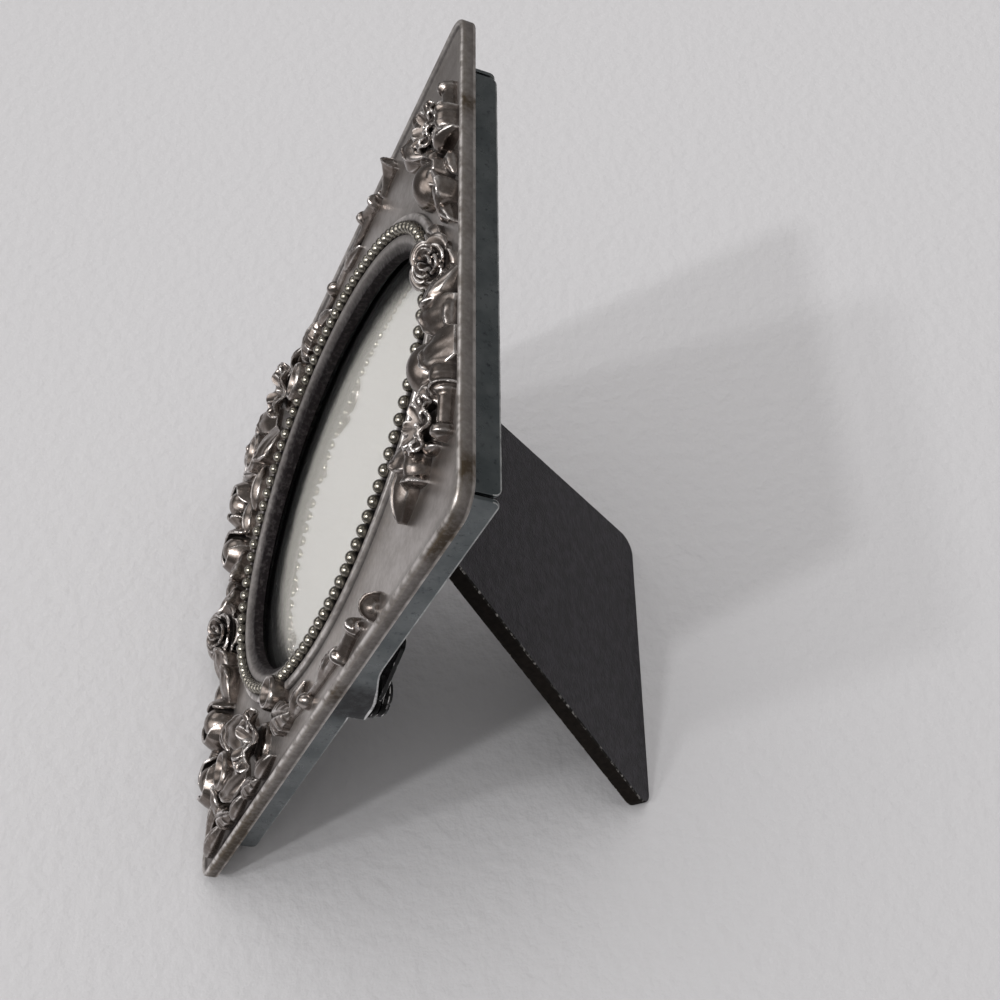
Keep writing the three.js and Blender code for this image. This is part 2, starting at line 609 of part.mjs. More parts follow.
// Leg, widening to a foot that is cut flat along the table.
function easelLeg() {
  const fromTable = LEG_OPEN_ANGLE - LEAN;
  const hingeAbove = HINGE_HEIGHT * Math.cos(LEAN) + HINGE_DEPTH * Math.sin(LEAN);
  const table = -hingeAbove / Math.cos(fromTable);
  const back = -LEG_INNER - LEG_THICKNESS;
  const foot = table + back * Math.tan(fromTable);
  const innerRise = LEG_INNER * Math.cos(LEG_OPEN_ANGLE);
  const top = (LEAF_FROM_AXIS - CLEARANCE + innerRise) / Math.sin(LEG_OPEN_ANGLE);
  const rounding = LEG_CORNER_RADIUS;
  const footHalf = LEG_FOOT_WIDTH / 2;
  const outline = new THREE.Path();
  outline.moveTo(LEG_TOP_WIDTH / 2, top);
  outline.lineTo(-LEG_TOP_WIDTH / 2, top);
  outline.lineTo(-footHalf, foot + rounding);
  outline.quadraticCurveTo(-footHalf, foot - CLEARANCE, rounding - footHalf, foot - CLEARANCE);
  outline.lineTo(footHalf - rounding, foot - CLEARANCE);
  outline.quadraticCurveTo(footHalf, foot - CLEARANCE, footHalf, foot + rounding);
  const board = toSolid(slab(outline.getPoints(2 * CORNER_SEGMENTS), back, -LEG_INNER));
  const floor = new THREE.BoxGeometry(2 * LEG_FOOT_WIDTH, LEG_FOOT_WIDTH, LEG_FOOT_WIDTH);
  floor.translate(0, -LEG_FOOT_WIDTH / 2, 0).rotateX(-fromTable).translate(0, table, 0);
  const deepest = -LEG_INNER - TACK_LENGTH - CLEARANCE;
  const holes = TACK_PLACES.map((x) => rodDeep(x, -TACK_FROM_AXIS, TACK_RADIUS + CLEARANCE, deepest, 0));
  return part('easel_leg', toGeometry(cut(board, [floor, ...holes])), blackBoard);
}

function legGroup() {
  const third = (HINGE_WIDTH - 2 * KNUCKLE_GAP) / 3;
  const leaf = hingeLeaf('hinge_leg_leaf', [[-third / 2, third / 2]], LEG_INNER - CLEARANCE - LEAF_THICKNESS);
  leaf.rotation.x = Math.PI;
  const headSeat = 2 * CLEARANCE + LEAF_THICKNESS - LEG_INNER;
  const tacks = TACK_PLACES.map((x, i) => tack(`leg_tack_${i + 1}`, x, -TACK_FROM_AXIS, headSeat));
  tacks.forEach((mesh) => { mesh.rotation.y = Math.PI; });
  const group = new THREE.Group();
  group.add(easelLeg(), leaf, ...tacks);
  group.rotation.x = LEG_OPEN_ANGLE;
  return group;
}

function hingeGroup() {
  const third = (HINGE_WIDTH - 2 * KNUCKLE_GAP) / 3;
  const half = HINGE_WIDTH / 2;
  const leaf = hingeLeaf('hinge_board_leaf', [[-half, third - half], [half - third, half]], LEAF_FROM_AXIS);
  const headSeat = LEAF_FROM_AXIS - CLEARANCE;
  const tacks = TACK_PLACES.map((x, i) => tack(`board_tack_${i + 1}`, x, TACK_FROM_AXIS, headSeat));
  const group = new THREE.Group();
  group.add(leaf, hingePin(), ...tacks, legGroup());
  group.position.set(LEG_OFFSET, HINGE_HEIGHT, HINGE_DEPTH);
  return group;
}

// The frame is drawn flat, with its bottom edge on X and its face to +Z, then leaned back on its leg.
const frame = new THREE.Group();
frame.add(
  facePlate(),
  backTray(),
  pane('glass_pane', GLASS_FRONT, GLASS_THICKNESS, clearGlass),
  pane('picture_card', CARD_FRONT, CARD_THICKNESS, creamCard),
  backBoard(),
  turnButton('turn_button_right', 1),
  turnButton('turn_button_left', -1),
  buttonScrew('button_screw_right', 1),
  buttonScrew('button_screw_left', -1),
  hingeGroup(),
);
frame.rotation.x = Math.PI / 2 - LEAN;

const stand = new THREE.Group();
stand.add(frame);
const reach = new THREE.Box3().setFromObject(stand, true);
stand.position.y = -(reach.min.y + reach.max.y) / 2;

export default stand;
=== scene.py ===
# %% [markdown]
# # A small antiqued frame with an oval opening
# The real object is a cast face plate with garlands and a row of beads, soldered to a folded sheet tray.
# The tray holds glass, a card and a board back, two turn buttons keep them in, and a board leg props the
# frame up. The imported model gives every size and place, and this file dresses it, piece by piece.

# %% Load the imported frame
import json
import math

import bmesh
import bpy
import numpy as np
from mathutils import Matrix, Quaternion, Vector


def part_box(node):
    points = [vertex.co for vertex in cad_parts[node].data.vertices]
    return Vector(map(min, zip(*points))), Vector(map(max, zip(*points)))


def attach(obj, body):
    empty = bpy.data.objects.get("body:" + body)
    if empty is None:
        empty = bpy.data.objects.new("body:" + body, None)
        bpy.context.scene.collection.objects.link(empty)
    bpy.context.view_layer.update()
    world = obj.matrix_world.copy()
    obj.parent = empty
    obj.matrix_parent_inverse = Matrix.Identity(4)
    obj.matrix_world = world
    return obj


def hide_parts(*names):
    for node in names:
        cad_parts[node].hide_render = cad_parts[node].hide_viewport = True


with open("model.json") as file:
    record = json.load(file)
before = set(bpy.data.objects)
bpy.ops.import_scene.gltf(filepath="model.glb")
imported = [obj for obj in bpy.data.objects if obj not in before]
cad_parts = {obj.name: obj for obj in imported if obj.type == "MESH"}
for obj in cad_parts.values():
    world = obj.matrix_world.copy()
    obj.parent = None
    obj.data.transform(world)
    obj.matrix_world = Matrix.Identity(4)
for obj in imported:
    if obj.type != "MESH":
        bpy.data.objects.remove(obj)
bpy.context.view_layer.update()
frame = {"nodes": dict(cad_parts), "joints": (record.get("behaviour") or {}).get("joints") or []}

# %% [markdown]
# ## The drawing's own frame
# The frame was drawn lying flat and then leaned back: x runs across the face, y up the plate and z out
# of the face, with z = 0 on the plate's back, in millimetres. One matrix takes that drawing to the
# standing object. Its lean is read from the axis of a turn button, and its place from the plate's lowest
# edge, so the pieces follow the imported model.

# %% From the drawing to the standing frame
MM = 0.001
joints = {joint["name"]: joint for joint in frame["joints"]}
button_axis = joints["button_right_turn"]["axis"]
LEAN = math.atan2(-button_axis[2], button_axis[1])
plate_vertices = frame["nodes"]["face_plate"].data.vertices
lower_edge = min((vertex.co for vertex in plate_vertices), key=lambda co: co.z)
STAND = Matrix.Translation((0, lower_edge.y, 0)) @ Matrix.Rotation(math.pi / 2 - LEAN, 4, "X")
TO_FRAME = STAND @ Matrix.Scale(MM, 4)
UPWARD, BACKWARD = STAND.col[1].xyz, -STAND.col[2].xyz
print("lean, degrees:", round(math.degrees(LEAN), 2), "lower edge at y, mm:", round(lower_edge.y / MM, 3))

# %% [markdown]
# The dressing needs a few of the drawing's sizes again. The heights are over the plate's back. The oval is
# given at the middle of the beads, the ledge lies outside it and the flange inside. The lug's run gives
# where it starts, where it is highest and where it ends, up the plate.

# %% Sizes of the drawing, in millimetres
PLATE_WIDTH = (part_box("face_plate")[1].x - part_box("face_plate")[0].x) / MM
PLATE_HEIGHT = 100
PLATE_CORNER = 3.4
FIELD = 1.4
RIM_TOP = 1.9
OVAL_CENTRE = 51.9
OVAL_HALF_WIDTH = 25.7
OVAL_HALF_HEIGHT = 38.65
BEAD_RADIUS = 0.85
BEAD_PITCH = 2
LEDGE_WIDTH = 1.9
LEDGE_TOP = 2.1
FLANGE_WIDTH = 2.9
TRAY_DEPTH = 4.6
LUG_DEPTH = 6.7
LUG_RUN = (47.0, 49.8, 59.8)
print("plate, mm:", round(PLATE_WIDTH, 2), "x", PLATE_HEIGHT)

# %% [markdown]
# ## Camera
# The photograph looks down over the frame's side edge, so its face is seen at a grazing angle. The eye's
# place, the point that it looks at and the lens come from solving the picture's perspective for the
# plate, the tray and the bead row. They are in millimetres, from the middle of the plate's lower rear edge.

# %% Camera at the photograph's viewpoint
EYE = Vector((123.83, 40.70, 214.86))
AIM = Vector((6.05, 41.24, 50.0))
LENS = 57.10
ROLL = -0.32
camera = bpy.data.objects.new("camera", bpy.data.cameras.new("camera"))
bpy.context.scene.collection.objects.link(camera)
camera.data.lens = LENS
camera.data.sensor_width = 36
camera.data.clip_start = 0.01
camera.location = Vector((0, lower_edge.y, 0)) + EYE * MM
level_view = (AIM - EYE).to_track_quat("-Z", "Y")
camera.rotation_euler = (level_view @ Quaternion((0, 0, 1), math.radians(ROLL))).to_euler()
bpy.context.scene.camera = camera
print("camera at, mm:", [round(c / MM, 1) for c in camera.location])

# %% [markdown]
# ## Floor and light
# The frame stands on a plain pale table in soft daylight with two lamps. The lamps' directions follow
# from the two overlapping shadows, whose corners are the plate's own corners. The world gives most of
# the light, so both shadows stay pale. In the metal's mirror the table ends a hand's breadth away.

# %% Small helpers for node trees
def add_node(tree, kind, place=(0, 0), **settings):
    node = tree.nodes.new(kind)
    node.location = place
    for name, value in settings.items():
        setattr(node, name, value)
    return node


def set_inputs(node, **values):
    for name, value in values.items():
        node.inputs[name.replace("_", " ")].default_value = value
    return node


def new_material(name):
    material = bpy.data.materials.new(name)
    material.use_nodes = True
    tree = material.node_tree
    return material, tree, tree.nodes["Principled BSDF"]


print("node tree helpers ready")

# %% Floor and lamps
FLOOR_TONE = (0.575, 0.569, 0.581, 1)
FAR_TONE = (0.16, 0.155, 0.155, 1)
MIRRORED_TABLE = (0.105, 0.20)
FLOOR_REACH = 3.0
PEEL_SCALE, PEEL_DEPTH = 420.0, 0.001
LAMPS = {
    "lamp_high": {"toward": (0.46, -0.49, 0.74), "level": 0.55, "spread": 3.0},
    "lamp_left": {"toward": (0.31, -0.60, 0.735), "level": 0.36, "spread": 4.0},
}


def make_floor():
    mesh = bpy.data.meshes.new("floor")
    corners = [(x * FLOOR_REACH, y * FLOOR_REACH, 0) for x, y in ((-1, -1), (1, -1), (1, 1), (-1, 1))]
    mesh.from_pydata(corners, [], [(0, 1, 2, 3)])
    floor = bpy.data.objects.new("floor", mesh)
    bpy.context.scene.collection.objects.link(floor)
    material, tree, shader = new_material("pale_table")
    set_inputs(shader, Roughness=0.8, Specular_IOR_Level=0.25)
    place = add_node(tree, "ShaderNodeTexCoord", (-900, 200)).outputs["Object"]
    away = add_node(tree, "ShaderNodeVectorMath", (-700, 200), operation="LENGTH")
    tree.links.new(place, away.inputs[0])
    edge = add_node(tree, "ShaderNodeMapRange", (-500, 200), interpolation_type="SMOOTHSTEP")
    set_inputs(edge, From_Min=MIRRORED_TABLE[0], From_Max=MIRRORED_TABLE[1])
    tree.links.new(away.outputs["Value"], edge.inputs["Value"])
    beyond = add_node(tree, "ShaderNodeMath", (-300, 200), operation="MULTIPLY")
    tree.links.new(edge.outputs["Result"], beyond.inputs[0])
    glossy = add_node(tree, "ShaderNodeLightPath", (-500, 400)).outputs["Is Glossy Ray"]
    tree.links.new(glossy, beyond.inputs[1])
    tone = add_node(tree, "ShaderNodeMix", (-100, 200), data_type="RGBA")
    tree.links.new(beyond.outputs["Value"], tone.inputs[0])
    tone.inputs[6].default_value, tone.inputs[7].default_value = FLOOR_TONE, FAR_TONE
    tree.links.new(tone.outputs[2], shader.inputs["Base Color"])
    peel = add_node(tree, "ShaderNodeTexNoise", (-500, -300))
    set_inputs(peel, Scale=PEEL_SCALE, Detail=3.0)
    tree.links.new(place, peel.inputs["Vector"])
    bump = set_inputs(add_node(tree, "ShaderNodeBump", (-250, -300)), Strength=0.4, Distance=PEEL_DEPTH)
    tree.links.new(peel.outputs["Fac"], bump.inputs["Height"])
    tree.links.new(bump.outputs["Normal"], shader.inputs["Normal"])
    mesh.materials.append(material)


def make_lamp(name, toward, level, spread):
    data = bpy.data.lights.new(name, "SUN")
    data.energy = level
    data.angle = math.radians(spread)
    lamp = bpy.data.objects.new(name, data)
    lamp.rotation_euler = Vector(toward).to_track_quat("Z", "Y").to_euler()
    bpy.context.scene.collection.objects.link(lamp)


make_floor()
for lamp_name, lamp in LAMPS.items():
    make_lamp(lamp_name, **lamp)
bpy.context.scene.view_settings.view_transform = "Standard"
print("lamps:", list(LAMPS))

# %% [markdown]
# The world is a room. Its light grows from the horizon to the ceiling and toward the front, so it is
# darker under the frame. What the metal mirrors is darker than that light, with a few soft panels round
# the lamps and a window in front, which gives the casting its contrast.

# %% The room as a world
ROOM_LIGHT = {"front": 0.16, "left": 0.22, "narrowing": 1.8, "level": 1.43, "least": 0.07}
MIRRORED_ROOM = 0.17
MIRRORED_CEILING = 0.10
DAYLIGHT = (1.0, 0.985, 0.975, 1)
PANELS = [
    {"toward": (0.42, -0.52, 0.74), "inner": 8, "outer": 19, "level": 4.5},
    {"toward": (0.20, -0.88, 0.42), "inner": 8, "outer": 28, "level": 1.8},
    {"toward": (-0.55, -0.60, 0.58), "inner": 6, "outer": 20, "level": 1.2},
    {"toward": (0.75, 0.45, 0.48), "inner": 8, "outer": 22, "level": 0.9},
]


def weighted_sum(tree, direction, weights, start):
    dot = add_node(tree, "ShaderNodeVectorMath", (-800, 0), operation="DOT_PRODUCT")
    tree.links.new(direction, dot.inputs[0])
    dot.inputs[1].default_value = weights
    total = add_node(tree, "ShaderNodeMath", (-600, 0), operation="ADD")
    tree.links.new(dot.outputs["Value"], total.inputs[0])
    total.inputs[1].default_value = start
    return total.outputs["Value"]


def panel_light(tree, direction, before, toward, inner, outer, level):
    facing = weighted_sum(tree, direction, Vector(toward).normalized(), 0)
    soft = add_node(tree, "ShaderNodeMapRange", (-400, 0), interpolation_type="SMOOTHSTEP")
    far, near = math.cos(math.radians(outer)), math.cos(math.radians(inner))
    set_inputs(soft, From_Min=far, From_Max=near, To_Max=level)
    tree.links.new(facing, soft.inputs["Value"])
    total = add_node(tree, "ShaderNodeMath", (-200, 0), operation="ADD")
    tree.links.new(before, total.inputs[0])
    tree.links.new(soft.outputs["Result"], total.inputs[1])
    return total.outputs["Value"]


def make_world():
    world = bpy.data.worlds.new("daylight")
    world.use_nodes = True
    tree = world.node_tree
    direction = add_node(tree, "ShaderNodeTexCoord", (-1000, 0)).outputs["Generated"]
    slopes = (-ROOM_LIGHT["left"], -ROOM_LIGHT["front"], 1)
    light = weighted_sum(tree, direction, slopes, 0)
    for operation, value in (
        ("MAXIMUM", 0), ("POWER", ROOM_LIGHT["narrowing"]),
        ("MULTIPLY", ROOM_LIGHT["level"]), ("ADD", ROOM_LIGHT["least"]),
    ):
        step = add_node(tree, "ShaderNodeMath", (-400, 200), operation=operation)
        tree.links.new(light, step.inputs[0])
        step.inputs[1].default_value = value
        light = step.outputs["Value"]
    mirrored = weighted_sum(tree, direction, (0, 0, MIRRORED_CEILING), MIRRORED_ROOM)
    for panel in PANELS:
        mirrored = panel_light(tree, direction, mirrored, **panel)
    glossy = add_node(tree, "ShaderNodeLightPath", (0, 300)).outputs["Is Glossy Ray"]
    choose = add_node(tree, "ShaderNodeMix", (200, 0), data_type="FLOAT")
    for socket, value in zip(choose.inputs[:1] + choose.inputs[2:4], (glossy, light, mirrored)):
        tree.links.new(value, socket)
    background = tree.nodes["Background"]
    set_inputs(background, Color=DAYLIGHT)
    tree.links.new(choose.outputs[0], background.inputs["Strength"])
    bpy.context.scene.world = world


make_world()
print("panels in the room:", len(PANELS))

# %% [markdown]
# ## Finishes
# The casting is antiqued: a dark wash stays in the recesses, the fields are a worn warm grey, and the
# crests are rubbed bright. Each casting carries attributes for that, recess, crest and patina, which
# come from its own shape. One node group turns them into colour, roughness and metal, and every
# antiqued piece places it with its own values.

# %% Helpers for node groups
def new_group(name, inputs, outputs):
    group = bpy.data.node_groups.new(name, "ShaderNodeTree")
    for label, kind, value in inputs:
        socket = group.interface.new_socket(name=label, in_out="INPUT", socket_type=kind)
        socket.default_value = value
    for label, kind in outputs:
        group.interface.new_socket(name=label, in_out="OUTPUT", socket_type=kind)
    return group, add_node(group, "NodeGroupInput", (-900, 0)), add_node(group, "NodeGroupOutput", (1100, 0))


def place_group(tree, group, **values):
    return set_inputs(add_node(tree, "ShaderNodeGroup", (-400, 0), node_tree=group), **values)


def surface_mm(tree):
    coordinates = add_node(tree, "ShaderNodeTexCoord", (-1100, -300))
    scaled = add_node(tree, "ShaderNodeVectorMath", (-900, -300), operation="SCALE")
    scaled.inputs["Scale"].default_value = 1 / MM
    tree.links.new(coordinates.outputs["Object"], scaled.inputs[0])
    return scaled.outputs["Vector"]


def noise(tree, coordinates, scale, detail):
    node = add_node(tree, "ShaderNodeTexNoise", (-700, -300))
    set_inputs(node, Scale=scale, Detail=detail, Roughness=0.6)
    tree.links.new(coordinates, node.inputs["Vector"])
    return node.outputs["Fac"]


def ramp(tree, value, low, high, to_low=0.0, to_high=1.0):
    node = add_node(tree, "ShaderNodeMapRange", (-500, -300), interpolation_type="SMOOTHSTEP")
    set_inputs(node, From_Min=low, From_Max=high, To_Min=to_low, To_Max=to_high)
    tree.links.new(value, node.inputs["Value"])
    return node.outputs["Result"]


def calculate(tree, operation, first, second, place=(-300, -300), clamp=True):
    node = add_node(tree, "ShaderNodeMath", place, operation=operation, use_clamp=clamp)
    for socket, value in zip(node.inputs, (first, second)):
        if isinstance(value, (int, float)):
            socket.default_value = value
        else:
            tree.links.new(value, socket)
    return node.outputs["Value"]


def product(tree, first, second):
    return calculate(tree, "MULTIPLY", first, second)


def along(tree, coordinates, axis, start):
    dot = add_node(tree, "ShaderNodeVectorMath", (-700, 100), operation="DOT_PRODUCT")
    tree.links.new(coordinates, dot.inputs[0])
    dot.inputs[1].default_value = axis
    return calculate(tree, "SUBTRACT", dot.outputs["Value"], start, (-500, 100), False)


def mix_colour(tree, factor, first, second, place=(0, 0)):
    node = add_node(tree, "ShaderNodeMix", place, data_type="RGBA")
    tree.links.new(factor, node.inputs[0])
    for socket, value in zip((node.inputs[6], node.inputs[7]), (first, second)):
        if isinstance(value, tuple):
            socket.default_value = value
        else:
            tree.links.new(value, socket)
    return node.outputs[2]


def add_bump(tree, shader, height, strength, distance_mm):
    bump = add_node(tree, "ShaderNodeBump", (-200, -500))
    set_inputs(bump, Strength=strength, Distance=distance_mm * MM)
    tree.links.new(height, bump.inputs["Height"])
    tree.links.new(bump.outputs["Normal"], shader.inputs["Normal"])


print("node helpers ready")

# %% [markdown]
# The antique group works in a fixed order, as the finisher does. The bare metal is clouded by tarnish,
# a brown patina lies where the attribute asks for it, the dark wash fills the recesses, and last the
# crests are rubbed back to bright metal, unevenly.

# %% Antique finish, shared by every cast piece
COLOUR, NUMBER = "NodeSocketColor", "NodeSocketFloat"


def make_antique_group():
    group, given, result = new_group(
        "antique_finish",
        [
            ("Recess", NUMBER, 0.0), ("Crest", NUMBER, 0.0), ("Patina", NUMBER, 0.0),
            ("Mottle", NUMBER, 0.3), ("Satin", NUMBER, 0.3),
            ("Silver", COLOUR, (0.46, 0.435, 0.42, 1)), ("Tarnish", COLOUR, (0.33, 0.305, 0.29, 1)),
            ("Brown", COLOUR, (0.15, 0.112, 0.072, 1)), ("Wash", COLOUR, (0.016, 0.013, 0.014, 1)),
            ("Bright", COLOUR, (0.93, 0.89, 0.87, 1)),
        ],
        [("Color", COLOUR), ("Roughness", NUMBER), ("Metallic", NUMBER), ("Height", NUMBER)],
    )
    place = surface_mm(group)
    clouds = noise(group, place, 0.22, 3.0)
    mottle = noise(group, place, 1.5, 3.0)
    grit = noise(group, place, 6.0, 2.0)
    patches = noise(group, place, 0.55, 2.0)
    blotches = calculate(group, "MULTIPLY_ADD", mottle, given.outputs["Mottle"])
    group.links.new(clouds, blotches.node.inputs[2])
    blotched = ramp(group, blotches, 0.42, 0.95)
    tone = mix_colour(group, blotched, given.outputs["Silver"], given.outputs["Tarnish"])
    worn = product(group, given.outputs["Patina"], ramp(group, mottle, 0.2, 0.7, 0.55, 1.0))
    tone = mix_colour(group, worn, tone, given.outputs["Brown"], (200, 0))
    uneven = ramp(group, mottle, 0.2, 0.75, 0.92, 1.05)
    filled = product(group, given.outputs["Recess"], uneven)
    tone = mix_colour(group, filled, tone, given.outputs["Wash"], (400, 0))
    rubbed = product(group, given.outputs["Crest"], ramp(group, patches, 0.38, 0.6, 0.1, 1.0))
    tone = mix_colour(group, rubbed, tone, given.outputs["Bright"], (600, 0))
    rough = calculate(group, "MULTIPLY_ADD", filled, 0.35)
    polish = calculate(group, "ADD", ramp(group, mottle, 0.2, 0.8, -0.05, 0.06), given.outputs["Satin"])
    group.links.new(polish, rough.node.inputs[2])
    metal = calculate(group, "SUBTRACT", 1.0, product(group, filled, 0.55))
    coarse = product(group, mottle, 0.6)
    height = calculate(group, "ADD", coarse, product(group, grit, 0.12))
    for label, socket in (("Color", tone), ("Roughness", rough), ("Metallic", metal), ("Height", height)):
        group.links.new(socket, result.inputs[label])
    return group


antique_finish = make_antique_group()
print("antique group sockets:", [item.name for item in antique_finish.interface.items_tree])

# %% [markdown]
# Each antiqued material reads the piece's attributes and adds grime of its own: ambient occlusion finds the
# corners that a polishing cloth can't reach. The plate is the palest, the relief is more tarnished and
# glossier, and the beads are the darkest, with small bright lights.

# %% Antique material, with its own values for a piece
def antique_material(name, grime_reach, grime, **values):
    material, tree, shader = new_material(name)
    finish = place_group(tree, antique_finish, **values)
    sockets = {}
    for label in ("recess", "crest", "patina"):
        sockets[label] = add_node(tree, "ShaderNodeAttribute", (-900, 0), attribute_name=label).outputs["Fac"]
    shade = add_node(tree, "ShaderNodeAmbientOcclusion", (-900, 300), samples=8)
    set_inputs(shade, Distance=grime_reach * MM)
    closed = calculate(tree, "SUBTRACT", 1.0, shade.outputs["AO"])
    closed = product(tree, ramp(tree, closed, 0.25, 0.85), grime)
    tree.links.new(calculate(tree, "MAXIMUM", sockets["recess"], closed), finish.inputs["Recess"])
    tree.links.new(sockets["crest"], finish.inputs["Crest"])
    tree.links.new(sockets["patina"], finish.inputs["Patina"])
    tree.links.new(finish.outputs["Color"], shader.inputs["Base Color"])
    tree.links.new(finish.outputs["Roughness"], shader.inputs["Roughness"])
    tree.links.new(finish.outputs["Metallic"], shader.inputs["Metallic"])
    set_inputs(shader, Specular_IOR_Level=0.12)
    add_bump(tree, shader, finish.outputs["Height"], 0.3, 0.05)
    return material


RELIEF_TONES = {
    "Silver": (0.48, 0.43, 0.405, 1), "Tarnish": (0.19, 0.165, 0.155, 1), "Mottle": 0.7, "Satin": 0.22,
}
BEAD_TONES = {"Silver": (0.33, 0.31, 0.27, 1), "Tarnish": (0.21, 0.195, 0.165, 1), "Satin": 0.18}
PLATE_TONES = {"Silver": (0.60, 0.566, 0.548, 1), "Tarnish": (0.43, 0.398, 0.38, 1), "Satin": 0.34}
plate_finish = antique_material("antique_plate", 1.6, 0.8, **PLATE_TONES)
relief_finish = antique_material("antique_relief", 1.4, 0.95, **RELIEF_TONES)
bead_finish = antique_material("antique_beads", 0.8, 1.0, **BEAD_TONES)
print("antique materials:", plate_finish.name, relief_finish.name, bead_finish.name)

# %% [markdown]
# ## From arrays to pieces
# Every drawn piece ends the same way: its mesh is taken from the drawing to the standing frame, gets its
# materials and smooth shading with sharp creases, rides on its body and hides the imported parts it
# stands for.

# %% Turn a drawn mesh into a finished piece
CREASE = math.radians(35)


def dress(name, mesh, materials, body, nodes, drawn=True):
    if drawn:
        mesh.transform(TO_FRAME)
        mesh.shade_smooth()
        mesh.set_sharp_from_angle(angle=CREASE)
    chosen = [face.material_index for face in mesh.polygons]
    mesh.materials.clear()
    for material in materials:
        mesh.materials.append(material)
    mesh.polygons.foreach_set("material_index", chosen)
    piece = bpy.data.objects.new(name, mesh)
    bpy.context.scene.collection.objects.link(piece)
    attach(piece, body)
    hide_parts(*nodes)
    print(name, "has", len(mesh.polygons), "faces")


def evaluated(piece):
    graph = bpy.context.evaluated_depsgraph_get()
    return bpy.data.meshes.new_from_object(piece.evaluated_get(graph))


def set_attribute(mesh, name, values):
    attribute = mesh.attributes.new(name, "FLOAT", "POINT")
    attribute.data.foreach_set("value", np.asarray(values, np.float32))


print("creases start at, degrees:", round(math.degrees(CREASE)))

# %% [markdown]
# ## The cast plate
# The plate is one closed skin: a profile carried all round, from the oval's lip along the back, over the
# rolled rim, across the flat field, up on the ledge, into the groove of the beads and down the flange.
# Rim points are offsets from the rounded rectangle and oval points are offsets from the bead line, so
# each ring of the skin follows its own outline. Each profile point also says how much wash, rubbing and
# patina lies there.

# %% Stations round the plate
STATION_STEP = 0.8
CORNER_STEPS = 12


def plate_stations():
    places = []
    half = PLATE_WIDTH / 2 - PLATE_CORNER
    low, high = PLATE_CORNER, PLATE_HEIGHT - PLATE_CORNER
    corners = [(half, low, -90), (half, high, 0), (-half, high, 90), (-half, low, 180)]
    for number, (x, y, start) in enumerate(corners):
        for step in range(CORNER_STEPS):
            angle = math.radians(start + 90 * step / CORNER_STEPS)
            outward = Vector((math.cos(angle), math.sin(angle)))
            places.append((Vector((x, y)) + outward * PLATE_CORNER, outward))
        x_next, y_next, _ = corners[(number + 1) % 4]
        outward = Vector((math.cos(math.radians(start + 90)), math.sin(math.radians(start + 90))))
        begin = Vector((x, y)) + outward * PLATE_CORNER
        end = Vector((x_next, y_next)) + outward * PLATE_CORNER
        count = round((end - begin).length / STATION_STEP)
        for step in range(count):
            places.append((begin.lerp(end, step / count), outward))
    return places


def oval_point(toward, offset):
    scale = math.hypot(toward.x / (OVAL_HALF_WIDTH + offset), toward.y / (OVAL_HALF_HEIGHT + offset))
    return Vector((0, OVAL_CENTRE)) + toward / scale


stations = plate_stations()
print("stations round the plate:", len(stations))

# %% [markdown]
# A ring of the skin is one profile point carried round all stations. Near the rim it is the outline moved
# inward, near the oval it is the oval made wider or narrower, and across the field it goes from one to the
# other by shares.

# %% Rings round the plate
FIELD_INSET = 1.3
LEDGE_FOOT = 0.25


def arc(centre, radius, start, end, steps):
    turns = [math.radians(start + (end - start) * step / steps) for step in range(steps + 1)]
    return [(centre[0] + radius * math.cos(turn), centre[1] + radius * math.sin(turn)) for turn in turns]


def rim_ring(inset, height):
    return [(place - outward * inset, height) for place, outward in stations]


def oval_ring(offset, height):
    centre = Vector((0, OVAL_CENTRE))
    return [(oval_point(place - centre, offset), height) for place, _ in stations]


def field_ring(share):
    outer = rim_ring(FIELD_INSET, FIELD)
    inner = oval_ring(LEDGE_WIDTH + LEDGE_FOOT, FIELD)
    return [(a.lerp(b, share), FIELD) for (a, _), (b, _) in zip(outer, inner)]


print("field between, mm:", FIELD_INSET, "from the edge and", LEDGE_WIDTH + LEDGE_FOOT, "from the beads")

# %% [markdown]
# The rim starts on the back, turns round a small lower edge, climbs a flat side and rolls over a rounded
# crest down to the field. After the place of each ring come its wash, its rubbing and its patina.

# %% Rings of the rolled rim
EDGE_ROUND = 0.2
RIM_ROUND = 0.44
RIM_SIDE = ((0.45, 0.68), (0.85, 0.6), (1.25, 0.5))
RIM_RUBBING = (0.0, 0.12, 0.45, 0.75, 0.8, 0.4)
RIM_FALL = (RIM_ROUND + 0.08, RIM_TOP - 0.2)
RIM_FOOT = ((0.8, 0.16, 0.75), (1.0, 0.03, 0.8))


def rim_rings():
    rings = [(rim_ring(1.5, 0), 0.3, 0, 0.6)]
    for inset, height in arc((EDGE_ROUND, EDGE_ROUND), EDGE_ROUND, 270, 180, 3):
        rings.append((rim_ring(inset, height), 0.2, 0.3, 0.3))
    for height, recess in RIM_SIDE:
        rings.append((rim_ring(0, height), recess, 0, 0.35))
    roll = arc((RIM_ROUND, RIM_TOP - RIM_ROUND), RIM_ROUND, 180, 90, len(RIM_RUBBING) - 1)
    for (inset, height), crest in zip(roll, RIM_RUBBING):
        rings.append((rim_ring(inset, height), 0.2, crest, 0.5))
    for inset, height in arc(RIM_FALL, EDGE_ROUND, 90, 30, 2):
        rings.append((rim_ring(inset, height), 0.3, 0.3, 0))
    for inset, over_field, recess in RIM_FOOT:
        rings.append((rim_ring(inset, FIELD + over_field), recess, 0, 0))
    return rings


print("rings of the rim:", len(rim_rings()))

# %% [markdown]
# The ledge carries a groove for the beads, full of dark wash. Inside it the flange runs level and satin,
# then falls in a cove to the wall of the window. Rows give the offset from the bead line, the drop below
# the ledge and the wash.

